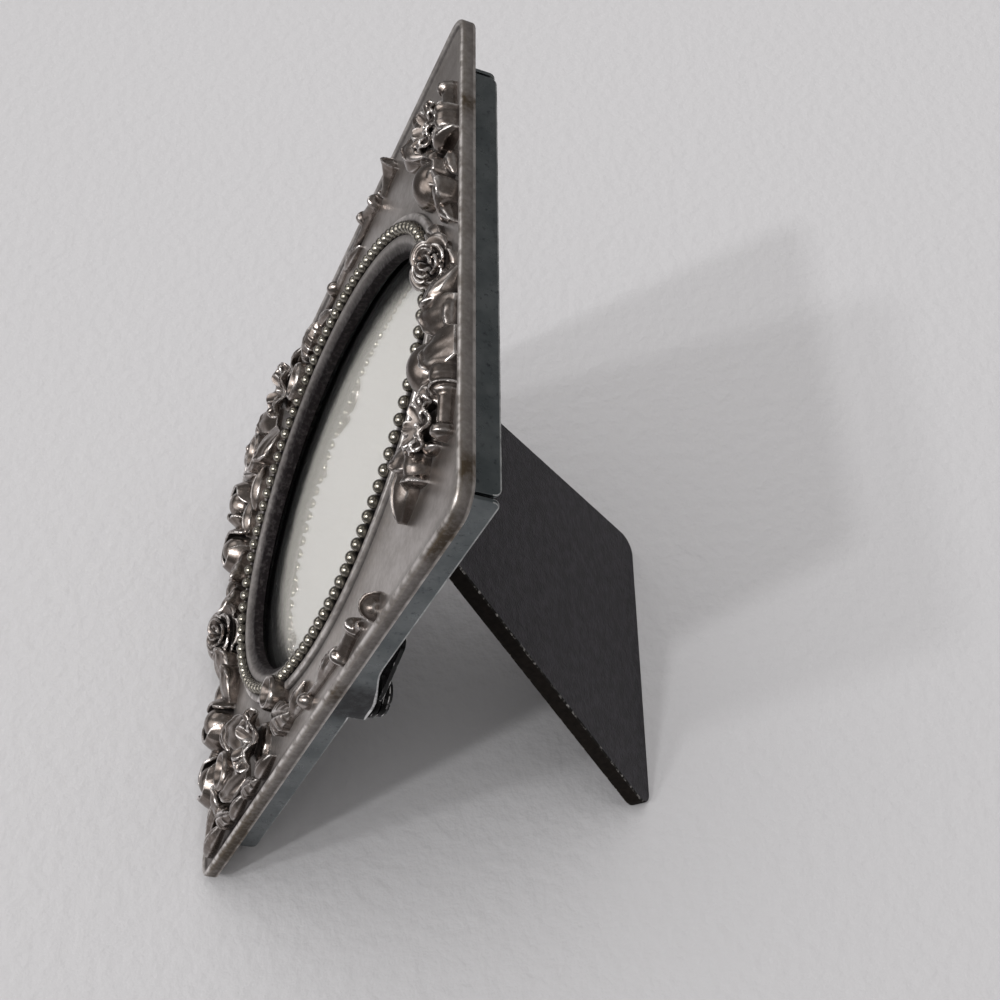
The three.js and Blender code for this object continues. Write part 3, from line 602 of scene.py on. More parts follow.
# %% Rings of the ledge and the flange
LEDGE_ROUND = 0.25
GROOVE = [(1.05, 0, 0.5), (0.85, 0.06, 0.9), (0.45, 0.3, 1), (0, 0.36, 1), (-0.45, 0.3, 1)]
SATIN = [(-0.82, 0.05, 0.9), (-0.98, 0, 0.5), (-1.3, 0, 0.4), (-1.7, 0.05, 0.45), (-1.88, 0.14, 0.6)]
COVE = [(-2.0, 0.34, 0.75), (-2.2, 0.56, 0.85), (-2.55, 0.74, 0.92), (-2.84, 0.84, 1)]
WALL = [(-FLANGE_WIDTH, 1.0, 1), (-FLANGE_WIDTH, 1.6, 1)]


def below_ledge(rows):
    return [(oval_ring(offset, LEDGE_TOP - drop), recess, 0, 0) for offset, drop, recess in rows]


def ledge_rings():
    rings = [(oval_ring(LEDGE_WIDTH + 0.08, FIELD + 0.05), 0.9, 0, 0)]
    rings.append((oval_ring(LEDGE_WIDTH, FIELD + 0.25), 0.5, 0, 0))
    shoulder = (LEDGE_WIDTH - LEDGE_ROUND, LEDGE_TOP - LEDGE_ROUND)
    for offset, height in arc(shoulder, LEDGE_ROUND, 0, 90, 4):
        rings.append((oval_ring(offset, height), 0.1, 0.7, 0))
    return rings + below_ledge(GROOVE)


print("rings of the ledge and flange:", len(ledge_rings()) + len(SATIN + COVE + WALL))

# %% [markdown]
# Now all rings are joined to one closed skin. Brown stains sit on the rim, where hands and damp have been,
# and a wide brown patch makes the near side darker towards the bottom. Painted shade darkens the field
# round the lower corners, where the relief stands high by the rim. Rows give the place, the reach and the
# amount.

# %% The plate as one skin
FIELD_RINGS = 10
FIELD_EDGE_WASH = 0.4
FIELD_PATINA = 0.15
# Brown patches on the rim; the last, wide one makes the near side darker towards the bottom.
BROWN_PATCHES = [
    (37, 93.5, 3.5, 1.0), (32.5, 100, 1.6, 0.9), (37, 60, 2.2, 0.6), (-20, 100, 1.4, 0.8), (37, 16, 14, 0.9),
]
# Painted shade on the field round the lower corners, under the high relief by the rim.
FIELD_SHADE_SPOTS = [(33, 14, 13, 0.8), (34.5, 32, 10, 0.6)]


def field_rings():
    rings = []
    for step in range(FIELD_RINGS + 1):
        recess = FIELD_EDGE_WASH if step in (0, FIELD_RINGS) else 0
        rings.append((field_ring(step / FIELD_RINGS), recess, 0, FIELD_PATINA))
    return rings


def plate_rings():
    back = [(oval_ring(-FLANGE_WIDTH, 0), 1, 0, 0)]
    return back + rim_rings() + field_rings() + ledge_rings() + below_ledge(SATIN + COVE + WALL)


def spots_at(x, y, spots):
    return sum(amount * math.exp(-((x - a) ** 2 + (y - b) ** 2) / reach**2) for a, b, reach, amount in spots)


# Adds the painted shade to the wash on the field, by place.
def with_painted_shade(place, recess):
    return recess + spots_at(abs(place.x), place.y, FIELD_SHADE_SPOTS)


def stained(place, height, patina):
    below_crest = 0 < height < RIM_TOP - 0.1
    return patina + (spots_at(place.x, place.y, BROWN_PATCHES) if below_crest else 0)


def plate_mesh():
    rings = plate_rings()
    count = len(stations)
    points = [(xy.x, xy.y, height) for ring, *_ in rings for xy, height in ring]
    faces = []
    for row in range(len(rings)):
        after = (row + 1) % len(rings)
        for column in range(count):
            beside = (column + 1) % count
            corners = ((row, column), (row, beside), (after, beside), (after, column))
            faces.append([ring * count + station for ring, station in corners])
    mesh = bpy.data.meshes.new("plate_casting")
    mesh.from_pydata(points, [], faces)
    rim_count = len(rim_rings()) + 1
    recess, crest, patina = [], [], []
    for row, (ring, washed, rubbed, browned) in enumerate(rings):
        on_rim = row < rim_count
        # On the field the recess values carry both the wash and the painted shade.
        recess += [washed if on_rim else with_painted_shade(place, washed) for place, _ in ring]
        crest += [rubbed] * count
        patina += [stained(*point, browned) if on_rim else browned for point in ring]
    for label, values in (("recess", recess), ("crest", crest), ("patina", patina)):
        set_attribute(mesh, label, values)
    bm = bmesh.new()
    bm.from_mesh(mesh)
    bmesh.ops.recalc_face_normals(bm, faces=bm.faces)
    bm.to_mesh(mesh)
    bm.free()
    return mesh


dress("plate_casting", plate_mesh(), [plate_finish], "frame", ["face_plate"])

# %% [markdown]
# ## The bead row
# A jeweller's bead wire runs round the oval. Geometry Nodes are made for that: a circle is stretched to
# the oval, points are spread evenly along it and a small sphere is set on each. The sizes are inputs of
# the tree, so another oval or bead needs no other code.

# %% Bead row by Geometry Nodes
OVAL_STEPS = 256
BEAD_SEGMENTS, BEAD_RINGS = 14, 9


def bead_tree():
    tree = bpy.data.node_groups.new("bead_row", "GeometryNodeTree")
    for label, kind, value in (
        ("Half Width", NUMBER, OVAL_HALF_WIDTH), ("Half Height", NUMBER, OVAL_HALF_HEIGHT),
        ("Bead Radius", NUMBER, BEAD_RADIUS), ("Bead Pitch", NUMBER, BEAD_PITCH),
        ("Finish", "NodeSocketMaterial", None),
    ):
        socket = tree.interface.new_socket(name=label, in_out="INPUT", socket_type=kind)
        if value is not None:
            socket.default_value = value
    tree.interface.new_socket(name="Beads", in_out="OUTPUT", socket_type="NodeSocketGeometry")
    given = add_node(tree, "NodeGroupInput", (-900, 0))
    result = add_node(tree, "NodeGroupOutput", (900, 0))
    circle = add_node(tree, "GeometryNodeCurvePrimitiveCircle", (-700, 200), mode="RADIUS")
    set_inputs(circle, Resolution=OVAL_STEPS, Radius=1.0)
    stretch = add_node(tree, "ShaderNodeCombineXYZ", (-700, 0))
    tree.links.new(given.outputs["Half Width"], stretch.inputs["X"])
    tree.links.new(given.outputs["Half Height"], stretch.inputs["Y"])
    stretch.inputs["Z"].default_value = 1
    oval = add_node(tree, "GeometryNodeTransform", (-500, 200))
    tree.links.new(circle.outputs["Curve"], oval.inputs["Geometry"])
    tree.links.new(stretch.outputs["Vector"], oval.inputs["Scale"])
    spread = add_node(tree, "GeometryNodeCurveToPoints", (-300, 200), mode="LENGTH")
    tree.links.new(oval.outputs["Geometry"], spread.inputs["Curve"])
    tree.links.new(given.outputs["Bead Pitch"], spread.inputs["Length"])
    bead = add_node(tree, "GeometryNodeMeshUVSphere", (-300, -100))
    set_inputs(bead, Segments=BEAD_SEGMENTS, Rings=BEAD_RINGS)
    tree.links.new(given.outputs["Bead Radius"], bead.inputs["Radius"])
    beads = add_node(tree, "GeometryNodeInstanceOnPoints", (0, 200))
    tree.links.new(spread.outputs["Points"], beads.inputs["Points"])
    tree.links.new(bead.outputs["Mesh"], beads.inputs["Instance"])
    real = add_node(tree, "GeometryNodeRealizeInstances", (200, 200))
    tree.links.new(beads.outputs["Instances"], real.inputs["Geometry"])
    finish = add_node(tree, "GeometryNodeSetMaterial", (400, 200))
    tree.links.new(real.outputs["Geometry"], finish.inputs["Geometry"])
    tree.links.new(given.outputs["Finish"], finish.inputs["Material"])
    tree.links.new(finish.outputs["Geometry"], result.inputs["Beads"])
    return tree


print("bead, mm:", 2 * BEAD_RADIUS, "at a pitch of", BEAD_PITCH)

# %% [markdown]
# A whole number of beads has to fit round the oval, so the pitch is evened out first. It gets a hair of
# play, which keeps a last bead from falling on the first one. Then the tree's result becomes a plain mesh.

# %% Beads as a plain mesh
BEAD_RISE = 0.2
PITCH_PLAY = 1.00005
LENGTH_STEPS = 2000


def oval_length():
    turns = np.linspace(0, 2 * np.pi, LENGTH_STEPS)
    path = np.stack([OVAL_HALF_WIDTH * np.cos(turns), OVAL_HALF_HEIGHT * np.sin(turns)])
    return np.hypot(*np.diff(path)).sum()


def bead_mesh():
    carrier = bpy.data.objects.new("bead_carrier", bpy.data.meshes.new("bead_carrier"))
    bpy.context.scene.collection.objects.link(carrier)
    modifier = carrier.modifiers.new("beads", "NODES")
    modifier.node_group = bead_tree()
    length = oval_length()
    even_pitch = length / round(length / BEAD_PITCH)
    values = {"Bead Pitch": even_pitch * PITCH_PLAY, "Finish": bead_finish}
    for item in modifier.node_group.interface.items_tree:
        if item.in_out == "INPUT" and item.name in values:
            modifier[item.identifier] = values[item.name]
    mesh = evaluated(carrier)
    bpy.data.objects.remove(carrier)
    mesh.transform(Matrix.Translation((0, OVAL_CENTRE, LEDGE_TOP + BEAD_RISE)))
    return mesh


dress("bead_row", bead_mesh(), [bead_finish], "frame", ["face_plate"])

# %% [markdown]
# ## The garlands
# The relief is a garland of roses, half-open buds, small blossoms and leaves, cast in one with the plate
# and about 4 mm high at the roses. Each motif is drawn by formula as overlapping petals. All the motifs of
# a stretch are then melted together by a voxel remesh and smoothed a little, which is just how a cast
# relief looks: one skin, with soft roots and rounded rims. A formula takes u along the motif, from 0 to 1,
# and v across it, from -1 to 1, and gives x, y and the height over the field.

# %% Closed skins from a formula
BURIED = -0.4
PETAL_THICKNESS = 0.42
PETAL_GRID = 14


def grid_of(surface, rows, columns):
    u, v = np.meshgrid(np.linspace(0, 1, rows + 1), np.linspace(-1, 1, columns + 1), indexing="ij")
    return np.stack(np.broadcast_arrays(*surface(u, v)), axis=-1).astype(float)


def closed(top, bottom):
    rows, columns = top.shape[:2]
    index = np.arange(rows * columns).reshape(rows, columns)
    corners = [index[:-1, :-1], index[1:, :-1], index[1:, 1:], index[:-1, 1:]]
    upper = np.stack(corners, axis=-1).reshape(-1, 4)
    lower = upper[:, ::-1] + rows * columns
    edge = np.concatenate([index[:-1, 0], index[-1, :-1], index[:0:-1, -1], index[0, :0:-1]])
    after = np.roll(edge, -1)
    sides = np.stack([edge, edge + rows * columns, after + rows * columns, after], axis=-1)
    points = np.concatenate([top.reshape(-1, 3), bottom.reshape(-1, 3)])
    return points, np.concatenate([upper, lower, sides])


def petal_skin(surface, thickness=PETAL_THICKNESS):
    top = grid_of(surface, PETAL_GRID, PETAL_GRID)
    normal = np.cross(np.gradient(top, axis=0), np.gradient(top, axis=1))
    normal /= np.linalg.norm(normal, axis=-1, keepdims=True) + 1e-12
    return closed(top, top - normal * thickness)


def mound(surface, rows, columns):
    top = grid_of(surface, rows, columns)
    bottom = top.copy()
    bottom[..., 2] = BURIED
    return closed(top, bottom)


print("petals are, mm:", PETAL_THICKNESS, "thick")

# %% [markdown]
# Every motif is drawn along x with its root on the field. Domes and bowls are the plainest: round mounds,
# one full and one with a hollow middle.

# %% Domes and bowls
BOWL_STOPS, BOWL_HEIGHTS = (0, 0.3, 0.6, 0.78, 0.92, 1), (0.25, 0.3, 0.78, 1, 0.84, 0.2)


def dome(half_length, half_width, rise):
    def surface(u, v):
        height = np.sqrt(np.clip(1 - u**2, 0, 1))
        return half_length * u * np.cos(np.pi * v), half_width * u * np.sin(np.pi * v), rise * height
    return mound(surface, 10, 28)


def dome_lobe(half_length, half_width, rise):
    return [dome(half_length, half_width, rise)]


def bowl(half_length, half_width, rise):
    def surface(u, v):
        height = np.interp(u, BOWL_STOPS, BOWL_HEIGHTS)
        return half_length * u * np.cos(np.pi * v), half_width * u * np.sin(np.pi * v), rise * height
    return [mound(surface, 24, 32)]


print("a bowl's hollow is", round(1 - BOWL_HEIGHTS[0], 2), "of its height")

# %% [markdown]
# A rose is four whorls of petals round a dome, each whorl narrower and higher than the one outside it. On
# the frame both roses nod a little to the side, so the finished rose is turned about its neck.

# %% Roses
ROSE_NECK = 0.45


def whorl(count, inner, outer, low, high, spread, phase=0.0, roll=0.0):
    petals = []
    for number in range(count):
        middle = math.radians(phase + 360 * number / count)

        def surface(u, v, middle=middle):
            width = np.sin(np.pi * (0.18 + 0.64 * u)) ** 0.6
            angle = middle + v * math.radians(spread) * width
            reach = inner + (outer - inner) * u * (1 - 0.16 * v**2)
            height = low + (high - low) * np.sin(np.pi / 2 * u) - roll * np.clip(u - 0.7, 0, 1) ** 2
            return reach * np.cos(angle), reach * np.sin(angle), height
        petals.append(petal_skin(surface))
    return petals


def rose(radius, rise):
    parts = [dome(radius * 0.86, radius * 0.86, rise * 0.6)]
    parts += whorl(5, radius * 0.4, radius * 1.06, rise * 0.48, rise * 0.66, 36, 20, rise * 1.8)
    parts += whorl(4, radius * 0.3, radius * 0.76, rise * 0.45, rise * 0.88, 42, 60, rise * 1.0)
    parts += whorl(3, radius * 0.18, radius * 0.5, rise * 0.5, rise * 1.0, 52, 10)
    parts += whorl(2, radius * 0.04, radius * 0.26, rise * 0.5, rise * 1.08, 66, 75)
    return parts


def nodding_rose(radius, rise, nod):
    cosine, sine = math.cos(math.radians(nod)), math.sin(math.radians(nod))
    neck = rise * ROSE_NECK
    for points, faces in rose(radius, rise):
        x, y, lift = points[:, 0], points[:, 1], points[:, 2] - neck
        nodded = [x * cosine + lift * sine, y, lift * cosine - x * sine + neck]
        yield np.stack(nodded, axis=-1), faces


print("skins of a rose:", len(rose(1, 1)))

# %% [markdown]
# Blossoms have one ring of cupped petals round a small eye. A bud is a dome in two wrapping petals, and a
# scale is a single broad petal with a raised brow and shallow flutes.

# %% Blossoms, buds and scales
def blossom(radius, rise, count=6):
    parts = [dome(radius * 0.72, radius * 0.72, rise * 0.5)]
    for number in range(count):
        middle = math.radians(360 * number / count + 12)

        def surface(u, v, middle=middle):
            along = radius * (0.18 + 0.84 * u * (1 - 0.1 * v**2))
            across = v * radius * 0.5 * np.sin(np.pi * (0.1 + 0.8 * u)) ** 0.8
            height = rise * (0.5 + 0.26 * np.sin(np.pi * 0.7 * u) + 0.36 * v**2 * np.sin(np.pi * 0.8 * u))
            x = along * math.cos(middle) - across * math.sin(middle)
            return x, along * math.sin(middle) + across * math.cos(middle), height
        parts.append(petal_skin(surface))
    parts.append(dome(radius * 0.2, radius * 0.2, rise * 0.95))
    return parts


def bud(radius, rise):
    parts = [dome(radius * 0.76, radius * 0.72, rise)]
    for middle, wide, swell in ((180, 100, 1.0), (15, 62, 0.96)):

        def surface(u, v, middle=math.radians(middle), wide=math.radians(wide), swell=swell):
            lift = math.radians(60) * u
            angle = middle + v * wide * (1 - 0.3 * u**3)
            reach = radius * swell * (np.cos(lift) + 0.18 * u**4)
            return reach * np.cos(angle), 0.94 * reach * np.sin(angle), rise * np.sin(lift)
        parts.append(petal_skin(surface, thickness=0.45))
    return parts


def scale(length, width, low, high, tilt=0.0):
    def surface(u, v):
        half = width / 2 * np.sin(np.pi * (0.2 + 0.5 * u)) ** 0.7
        climb = np.minimum(np.sin(np.pi * 0.62 * u) / np.sin(np.pi * 0.62), 1.06)
        brow = 0.2 * np.exp(-(((u - 0.93) / 0.08) ** 2))
        flutes = 0.07 * u * np.cos(2.6 * np.pi * v + 1.2)
        across = np.sqrt(1 - 0.8 * v**2) * (1 + tilt * v)
        height = low + (high - low) * (climb * across + brow + flutes)
        return (u * (1 - 0.26 * v**2 + 0.1 * tilt * v) - 0.5) * length, v * half, height
    return [mound(surface, 24, 26)]


print("skins of a blossom and of a bud:", len(blossom(1, 1)), len(bud(1, 1)))

# %% [markdown]
# A leaf is an arched mound with a groove along its middle, and saw teeth where it has a number of them. A
# twig is a thin half-round bar that follows a path.

# %% Leaves and twigs
def leaf(length, width, rise, teeth=0):
    def surface(u, v):
        saw = (u * teeth) % 1 - 0.5
        half = width / 2 * np.clip(np.sin(np.pi * u**0.8), 0, 1) ** 0.8 * (1 + 0.18 * saw)
        arch = np.clip(np.sin(np.pi * (0.08 + 0.84 * u)), 0, 1) ** 0.6
        fold = 1 - 0.42 * v**2 - 0.3 * np.exp(-((v / 0.13) ** 2)) + 0.1 * saw * np.abs(v)
        return (u - 0.5) * length, v * half, rise * arch * fold
    return [mound(surface, 36, 18)]


def twig(points, thick, thin):
    path = np.array(points, float)

    def surface(u, v):
        along = u[:, 0] * (len(path) - 1)
        x = np.interp(along, range(len(path)), path[:, 0])
        y = np.interp(along, range(len(path)), path[:, 1])
        dx, dy = np.gradient(x), np.gradient(y)
        size = np.hypot(dx, dy)
        girth = thick + (thin - thick) * u
        side = girth * np.sin(np.pi / 2 * v)
        height = girth * 1.6 * np.cos(np.pi / 2 * v)
        return x[:, None] - side * (dy / size)[:, None], y[:, None] + side * (dx / size)[:, None], height
    return [mound(surface, 40, 10)]


print("points of a leaf:", len(leaf(1, 1, 1)[0][0]))

# %% [markdown]
# Some buds are seen from the side, as cups on a stalk, and bars with two rings tie the sprays. They are half
# turned on a lathe: a profile gives pairs of place and girth along the axis.

# %% Turned cups and bars
def turned(profile, length, width, rise):
    stops = np.array(profile, float)
    places = np.linspace(0, 1, len(stops))

    def surface(u, v):
        along = np.interp(u, places, stops[:, 0])
        girth = np.interp(u, places, stops[:, 1])
        roll = v * np.pi / 2
        return (along - 0.5) * length, width / 2 * girth * np.sin(roll), rise * girth * np.cos(roll)
    return [mound(surface, 4 * (len(stops) - 1), 22)]


BARREL = [
    (0, 0.5), (0.08, 0.8), (0.3, 0.98), (0.6, 1), (0.8, 0.9),
    (0.9, 1), (1, 1.06), (1, 0.9), (0.94, 0.78), (0.98, 0.4),
]
TRUMPET = [
    (0, 0.3), (0.3, 0.42), (0.6, 0.62), (0.85, 0.9), (1, 1.16),
    (1, 1.02), (0.93, 0.84), (0.97, 0.6), (1.04, 0.3),
]
BAR = [(0, 0.6), (0.06, 1), (0.16, 0.98), (0.24, 0.72), (0.76, 0.7), (0.84, 0.98), (0.94, 1), (1, 0.6)]


def barrel(length, width, rise):
    return turned(BARREL, length, width, rise)


def trumpet(length, width, rise):
    return turned(TRUMPET, length, width, rise)


def bar(length, width, rise):
    return turned(BAR, length, width, rise)


FORMS = (nodding_rose, blossom, bud, scale, dome_lobe, bowl, leaf, barrel, trumpet, bar, twig)
print("motifs:", [form.__name__ for form in FORMS])

# %% [markdown]
# The layout is read from the photograph: a rose in the middle of the top and of the bottom, half-open
# buds, broad petals and blossoms beside them, and thin sprays up the long sides. Rows give the form, its
# place on the face, the way it points in degrees and its sizes. The left half mirrors the right, apart from
# a few petals at the top.

# %% Layout of the garlands
TOP = [
    (leaf, 5.2, 92.4, -36, 4.6, 3.0, 1.8),
    (leaf, 11.6, 98.2, -6, 4.6, 1.8, 1.8),
    (dome_lobe, 14.0, 91.6, 0, 3.2, 3.0, 3.1),
    (leaf, 12.6, 90.2, -60, 5.4, 2.2, 1.9),
    (barrel, 19.4, 97.0, 4, 3.4, 3.0, 2.6),
    (bar, 23.4, 96.6, -8, 6.4, 2.6, 2.1),
    (leaf, 18.4, 91.4, -40, 5.0, 2.8, 2.2, 4),
    (leaf, 19.6, 94.6, 20, 4.4, 2.4, 2.1),
    (blossom, 22.6, 92.4, 0, 3.2, 2.7, 7),
    (leaf, 25.4, 92.8, 64, 3.6, 1.6, 1.7),
    (leaf, 25.8, 85.8, -32, 7.8, 5.8, 2.5),
    (scale, 23.6, 88.4, -60, 4.2, 4.0, 0.8, 2.7, -0.3),
    (barrel, 25.6, 89.6, -16, 4.4, 3.4, 2.5),
]
TOP_RIGHT = [
    (scale, 6.6, 96.6, -48, 5.6, 4.4, 0.7, 2.7, 0.3),
    (scale, 10.6, 96.4, -100, 5.2, 4.8, 0.7, 2.5, -0.3),
    (scale, 15.8, 97.0, -90, 4.6, 5.6, 0.7, 2.7, 0.25),
]
TOP_LEFT = [
    (leaf, -16.6, 96.8, 84, 5.2, 2.4, 2.7),
    (scale, -11.6, 95.6, 62, 4.4, 3.8, 0.7, 2.5, 0.3),
    (leaf, -13.4, 93.4, 140, 4.6, 2.8, 2.3, 3),
    (scale, -7.2, 96.6, 104, 4.8, 4.2, 0.7, 2.6, -0.3),
    (leaf, -4.4, 97.2, 24, 4.8, 2.2, 2.0),
]
SIDE = [
    (trumpet, 33.4, 73.2, 66, 5.0, 3.2, 2.1),
    (bar, 33.9, 66.6, 106, 6.4, 2.4, 1.9),
    (leaf, 32.4, 58.4, 100, 7.0, 2.2, 1.3),
    (dome_lobe, 33.3, 50.6, 80, 1.4, 1.1, 1.7),
    (leaf, 31.0, 46.8, 108, 6.4, 2.4, 1.5),
    (leaf, 31.0, 41.2, 74, 8.2, 4.2, 2.3, 6),
    (bowl, 25.8, 37.4, 60, 3.2, 2.5, 2.6),
    (blossom, 29.4, 30.2, 0, 4.3, 3.3),
    (leaf, 33.8, 26.2, 84, 7.0, 2.6, 1.7, 5),
]
BOTTOM = [
    (scale, 24.6, 22.6, -128, 6.0, 5.4, 0.9, 3.0),
    (scale, 31.0, 20.4, -70, 6.0, 4.6, 0.8, 2.4),
    (bowl, 27.4, 16.4, 30, 3.4, 2.9, 3.1),
    (leaf, 21.6, 15.4, 40, 7.2, 3.6, 2.2),
    (leaf, 29.6, 7.4, -58, 10.0, 2.8, 1.9),
    (bud, 24.3, 6.2, 200, 3.8, 3.4),
    (leaf, 19.2, 10.6, 24, 6.4, 3.4, 2.1),
    (bud, 15.2, 6.4, 150, 3.9, 3.6),
    (leaf, 19.8, 3.6, -8, 5.6, 2.8, 1.9),
    (scale, 10.2, 9.4, 160, 6.0, 4.4, 0.9, 2.6),
    (leaf, 9.4, 3.8, -12, 6.4, 3.2, 2.0),
    (scale, 5.6, 6.6, 176, 5.4, 5.4, 0.9, 3.0),
]
CORNER = [
    (leaf, 33.7, 7.6, 98, 9.0, 2.8, 2.0),
    (scale, 30.6, 12.6, 128, 5.4, 4.6, 0.9, 2.9),
    (leaf, 33.4, 15.0, 76, 7.4, 3.0, 2.3, 4),
    (leaf, 34.2, 20.6, 100, 6.4, 2.2, 1.8),
    (leaf, 34.0, 33.2, 93, 6.6, 2.4, 1.9),
]
TOP_ROSE = (nodding_rose, 1.2, 94.2, 40, 3.5, 3.0, 34)
BOTTOM_ROSE = (nodding_rose, 0, 6.3, 52, 4.6, 4.0, 22)
TWIG_THICK, TWIG_THIN = 0.6, 0.4
SIDE_TWIG = [(33.8, 70.5), (33.4, 62.0), (33.2, 54.0), (32.4, 46.0), (30.6, 36.0)]
print("motifs on the right half:", sum(len(rows) for rows in (TOP, TOP_RIGHT, SIDE, BOTTOM, CORNER)))


# %% Motifs set in their places
def grown(row, mirrored):
    form, x, y, turn, *sizes = row
    cosine, sine = math.cos(math.radians(turn)), math.sin(math.radians(turn))
    side = -1 if mirrored else 1
    for points, faces in form(*sizes):
        turned_x = points[:, 0] * cosine - points[:, 1] * sine + x
        turned_y = points[:, 0] * sine + points[:, 1] * cosine + y
        yield np.stack([side * turned_x, turned_y, points[:, 2]], axis=-1), faces


def garland(rows, mirrored=False, twigs=()):
    parts = [part for row in rows for part in grown(row, mirrored)]
    for path in twigs:
        for points, faces in twig(path, TWIG_THICK, TWIG_THIN):
            parts.append((points * ((-1 if mirrored else 1), 1, 1), faces))
    return parts


print("skins on the right side:", len(garland(SIDE, False, [SIDE_TWIG])))

# %% [markdown]
# Melting the motifs takes three steps. The parts are gathered in one mesh and voxel remeshed, two rounds
# of smoothing round the voxels off, and then the skin is compared with a far smoother copy of itself:
# where the copy lies above it there is a recess, and where it lies below there is a crest.

# %% Melt the motifs into one cast skin
VOXEL = 0.125
SOFTEN_ROUNDS = 2
FINE_ROUNDS, FINE_DEPTH = 8, 0.035
BROAD_ROUNDS, BROAD_DEPTH = 70, 0.22
FINE_WASH, FINE_WASH_START = 0.8, 0.15
RUB_START = 0.25
RELIEF_PATINA = 0.25


def gathered_mesh(name, parts):
    points, faces, first = [], [], 0
    for part_points, part_faces in parts:
        points.append(part_points)
        faces.append(part_faces + first)
        first += len(part_points)
    points = np.concatenate(points)
    points[:, 2] = np.maximum(points[:, 2], BURIED) + FIELD
    mesh = bpy.data.meshes.new(name)
    mesh.from_pydata(points.tolist(), [], np.concatenate(faces).tolist())
    return mesh


def remeshed(mesh):
    carrier = bpy.data.objects.new("relief_carrier", mesh)
    bpy.context.scene.collection.objects.link(carrier)
    modifier = carrier.modifiers.new("melt", "REMESH")
    modifier.mode = "VOXEL"
    modifier.voxel_size = VOXEL
    result = evaluated(carrier)
    bpy.data.objects.remove(carrier)
    return result


def read(values, name, width):
    flat = np.empty(len(values) * width, np.float32)
    values.foreach_get(name, flat)
    return flat.reshape(-1, width).astype(float)


def smoothed(points, edges, rounds):
    count = len(points)
    degree = np.bincount(edges.ravel(), minlength=count)[:, None]
    for _ in range(rounds):
        total = np.empty_like(points)
        for axis in range(3):
            near = points[:, axis]
            forth = np.bincount(edges[:, 0], near[edges[:, 1]], count)
            total[:, axis] = forth + np.bincount(edges[:, 1], near[edges[:, 0]], count)
        points = 0.5 * points + 0.5 * total / degree
    return points


def cast_mesh(name, parts):
    mesh = remeshed(gathered_mesh(name, parts))
    edges = np.array([edge.vertices[:] for edge in mesh.edges])
    points = smoothed(read(mesh.vertices, "co", 3), edges, SOFTEN_ROUNDS)
    mesh.vertices.foreach_set("co", points.ravel().astype(np.float32))
    mesh.update()
    normals = read(mesh.vertex_normals, "vector", 3)
    fine = ((smoothed(points, edges, FINE_ROUNDS) - points) * normals).sum(axis=1) / FINE_DEPTH
    broad = ((smoothed(points, edges, BROAD_ROUNDS) - points) * normals).sum(axis=1) / BROAD_DEPTH
    set_attribute(mesh, "recess", np.clip(np.maximum(FINE_WASH * fine - FINE_WASH_START, broad), 0, 1))
    set_attribute(mesh, "crest", np.clip(-fine - RUB_START, 0, 1))
    set_attribute(mesh, "patina", np.full(len(points), RELIEF_PATINA))
    return mesh


print("relief is melted at, mm:", VOXEL)

# %% Garlands, stretch by stretch
STRETCHES = {
    "garland_top_right": garland(TOP + TOP_RIGHT),
    "garland_top_left": garland(TOP, True) + garland(TOP_LEFT),
    "rose_top": garland([TOP_ROSE]),
    "garland_right": garland(SIDE, False, [SIDE_TWIG]),
    "garland_left": garland(SIDE, True, [SIDE_TWIG]),
    "garland_bottom_right": garland(BOTTOM),
    "garland_bottom_left": garland(BOTTOM, True),
    "rose_bottom": garland([BOTTOM_ROSE]),
    "garland_corner_right": garland(CORNER),
    "garland_corner_left": garland(CORNER, True),
}
for stretch, parts in STRETCHES.items():
    dress(stretch, cast_mesh(stretch, parts), [relief_finish], "frame", ["face_plate"])

# %% [markdown]
# ## Sheet, boards and metal
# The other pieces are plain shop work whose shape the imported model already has: folded sheet, sawn board
# and stamped metal. What it lacks is the small rounding that every real edge has. So each node's mesh is
# copied, its loose triangles are merged into whole faces and its edges are rounded. The rounding gets a
# material of its own, because there the coating is worn through.

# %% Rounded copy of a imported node
BEVEL_STEPS = 2
SAME_POINT = 1e-6
SAME_PLANE = math.radians(0.5)


def flat_shaded(mesh):
    mesh.shade_smooth()
    mesh.set_sharp_from_angle(angle=CREASE)
    carrier = bpy.data.objects.new(mesh.name, mesh)
    bpy.context.scene.collection.objects.link(carrier)
    modifier = carrier.modifiers.new("weigh", "WEIGHTED_NORMAL")
    modifier.weight = 100
    modifier.keep_sharp = True
    result = evaluated(carrier)
    bpy.data.objects.remove(carrier)
    return result


def rounded_copy(node, width):
    mesh = frame["nodes"][node].data.copy()
    mesh.name = node + "_dressed"
    bm = bmesh.new()
    bm.from_mesh(mesh)
    bmesh.ops.remove_doubles(bm, verts=bm.verts, dist=SAME_POINT)
    bmesh.ops.dissolve_limit(bm, angle_limit=SAME_PLANE, verts=bm.verts, edges=bm.edges)
    for face in bm.faces:
        face.material_index = 0
    edges = [edge for edge in bm.edges if len(edge.link_faces) == 2]
    edges = [edge for edge in edges if edge.calc_face_angle() > CREASE]
    bmesh.ops.bevel(
        bm, geom=edges, offset=width * MM, segments=BEVEL_STEPS, profile=0.5,
        affect="EDGES", clamp_overlap=False, material=1,
    )
    bm.to_mesh(mesh)
    bm.free()
    return flat_shaded(mesh)


print("steps of a rounded edge:", BEVEL_STEPS)

# %% [markdown]
# The tray is thin dark sheet with a blue-green cast, clouded and spotted. It is darker round the lug, and its
# back edge is worn to a bright line, which follows the lug's curve; the line is partly a painted highlight,
# turning white by the lug. Both are painted by place: how far up the plate a point lies, and how far behind
# the plate.

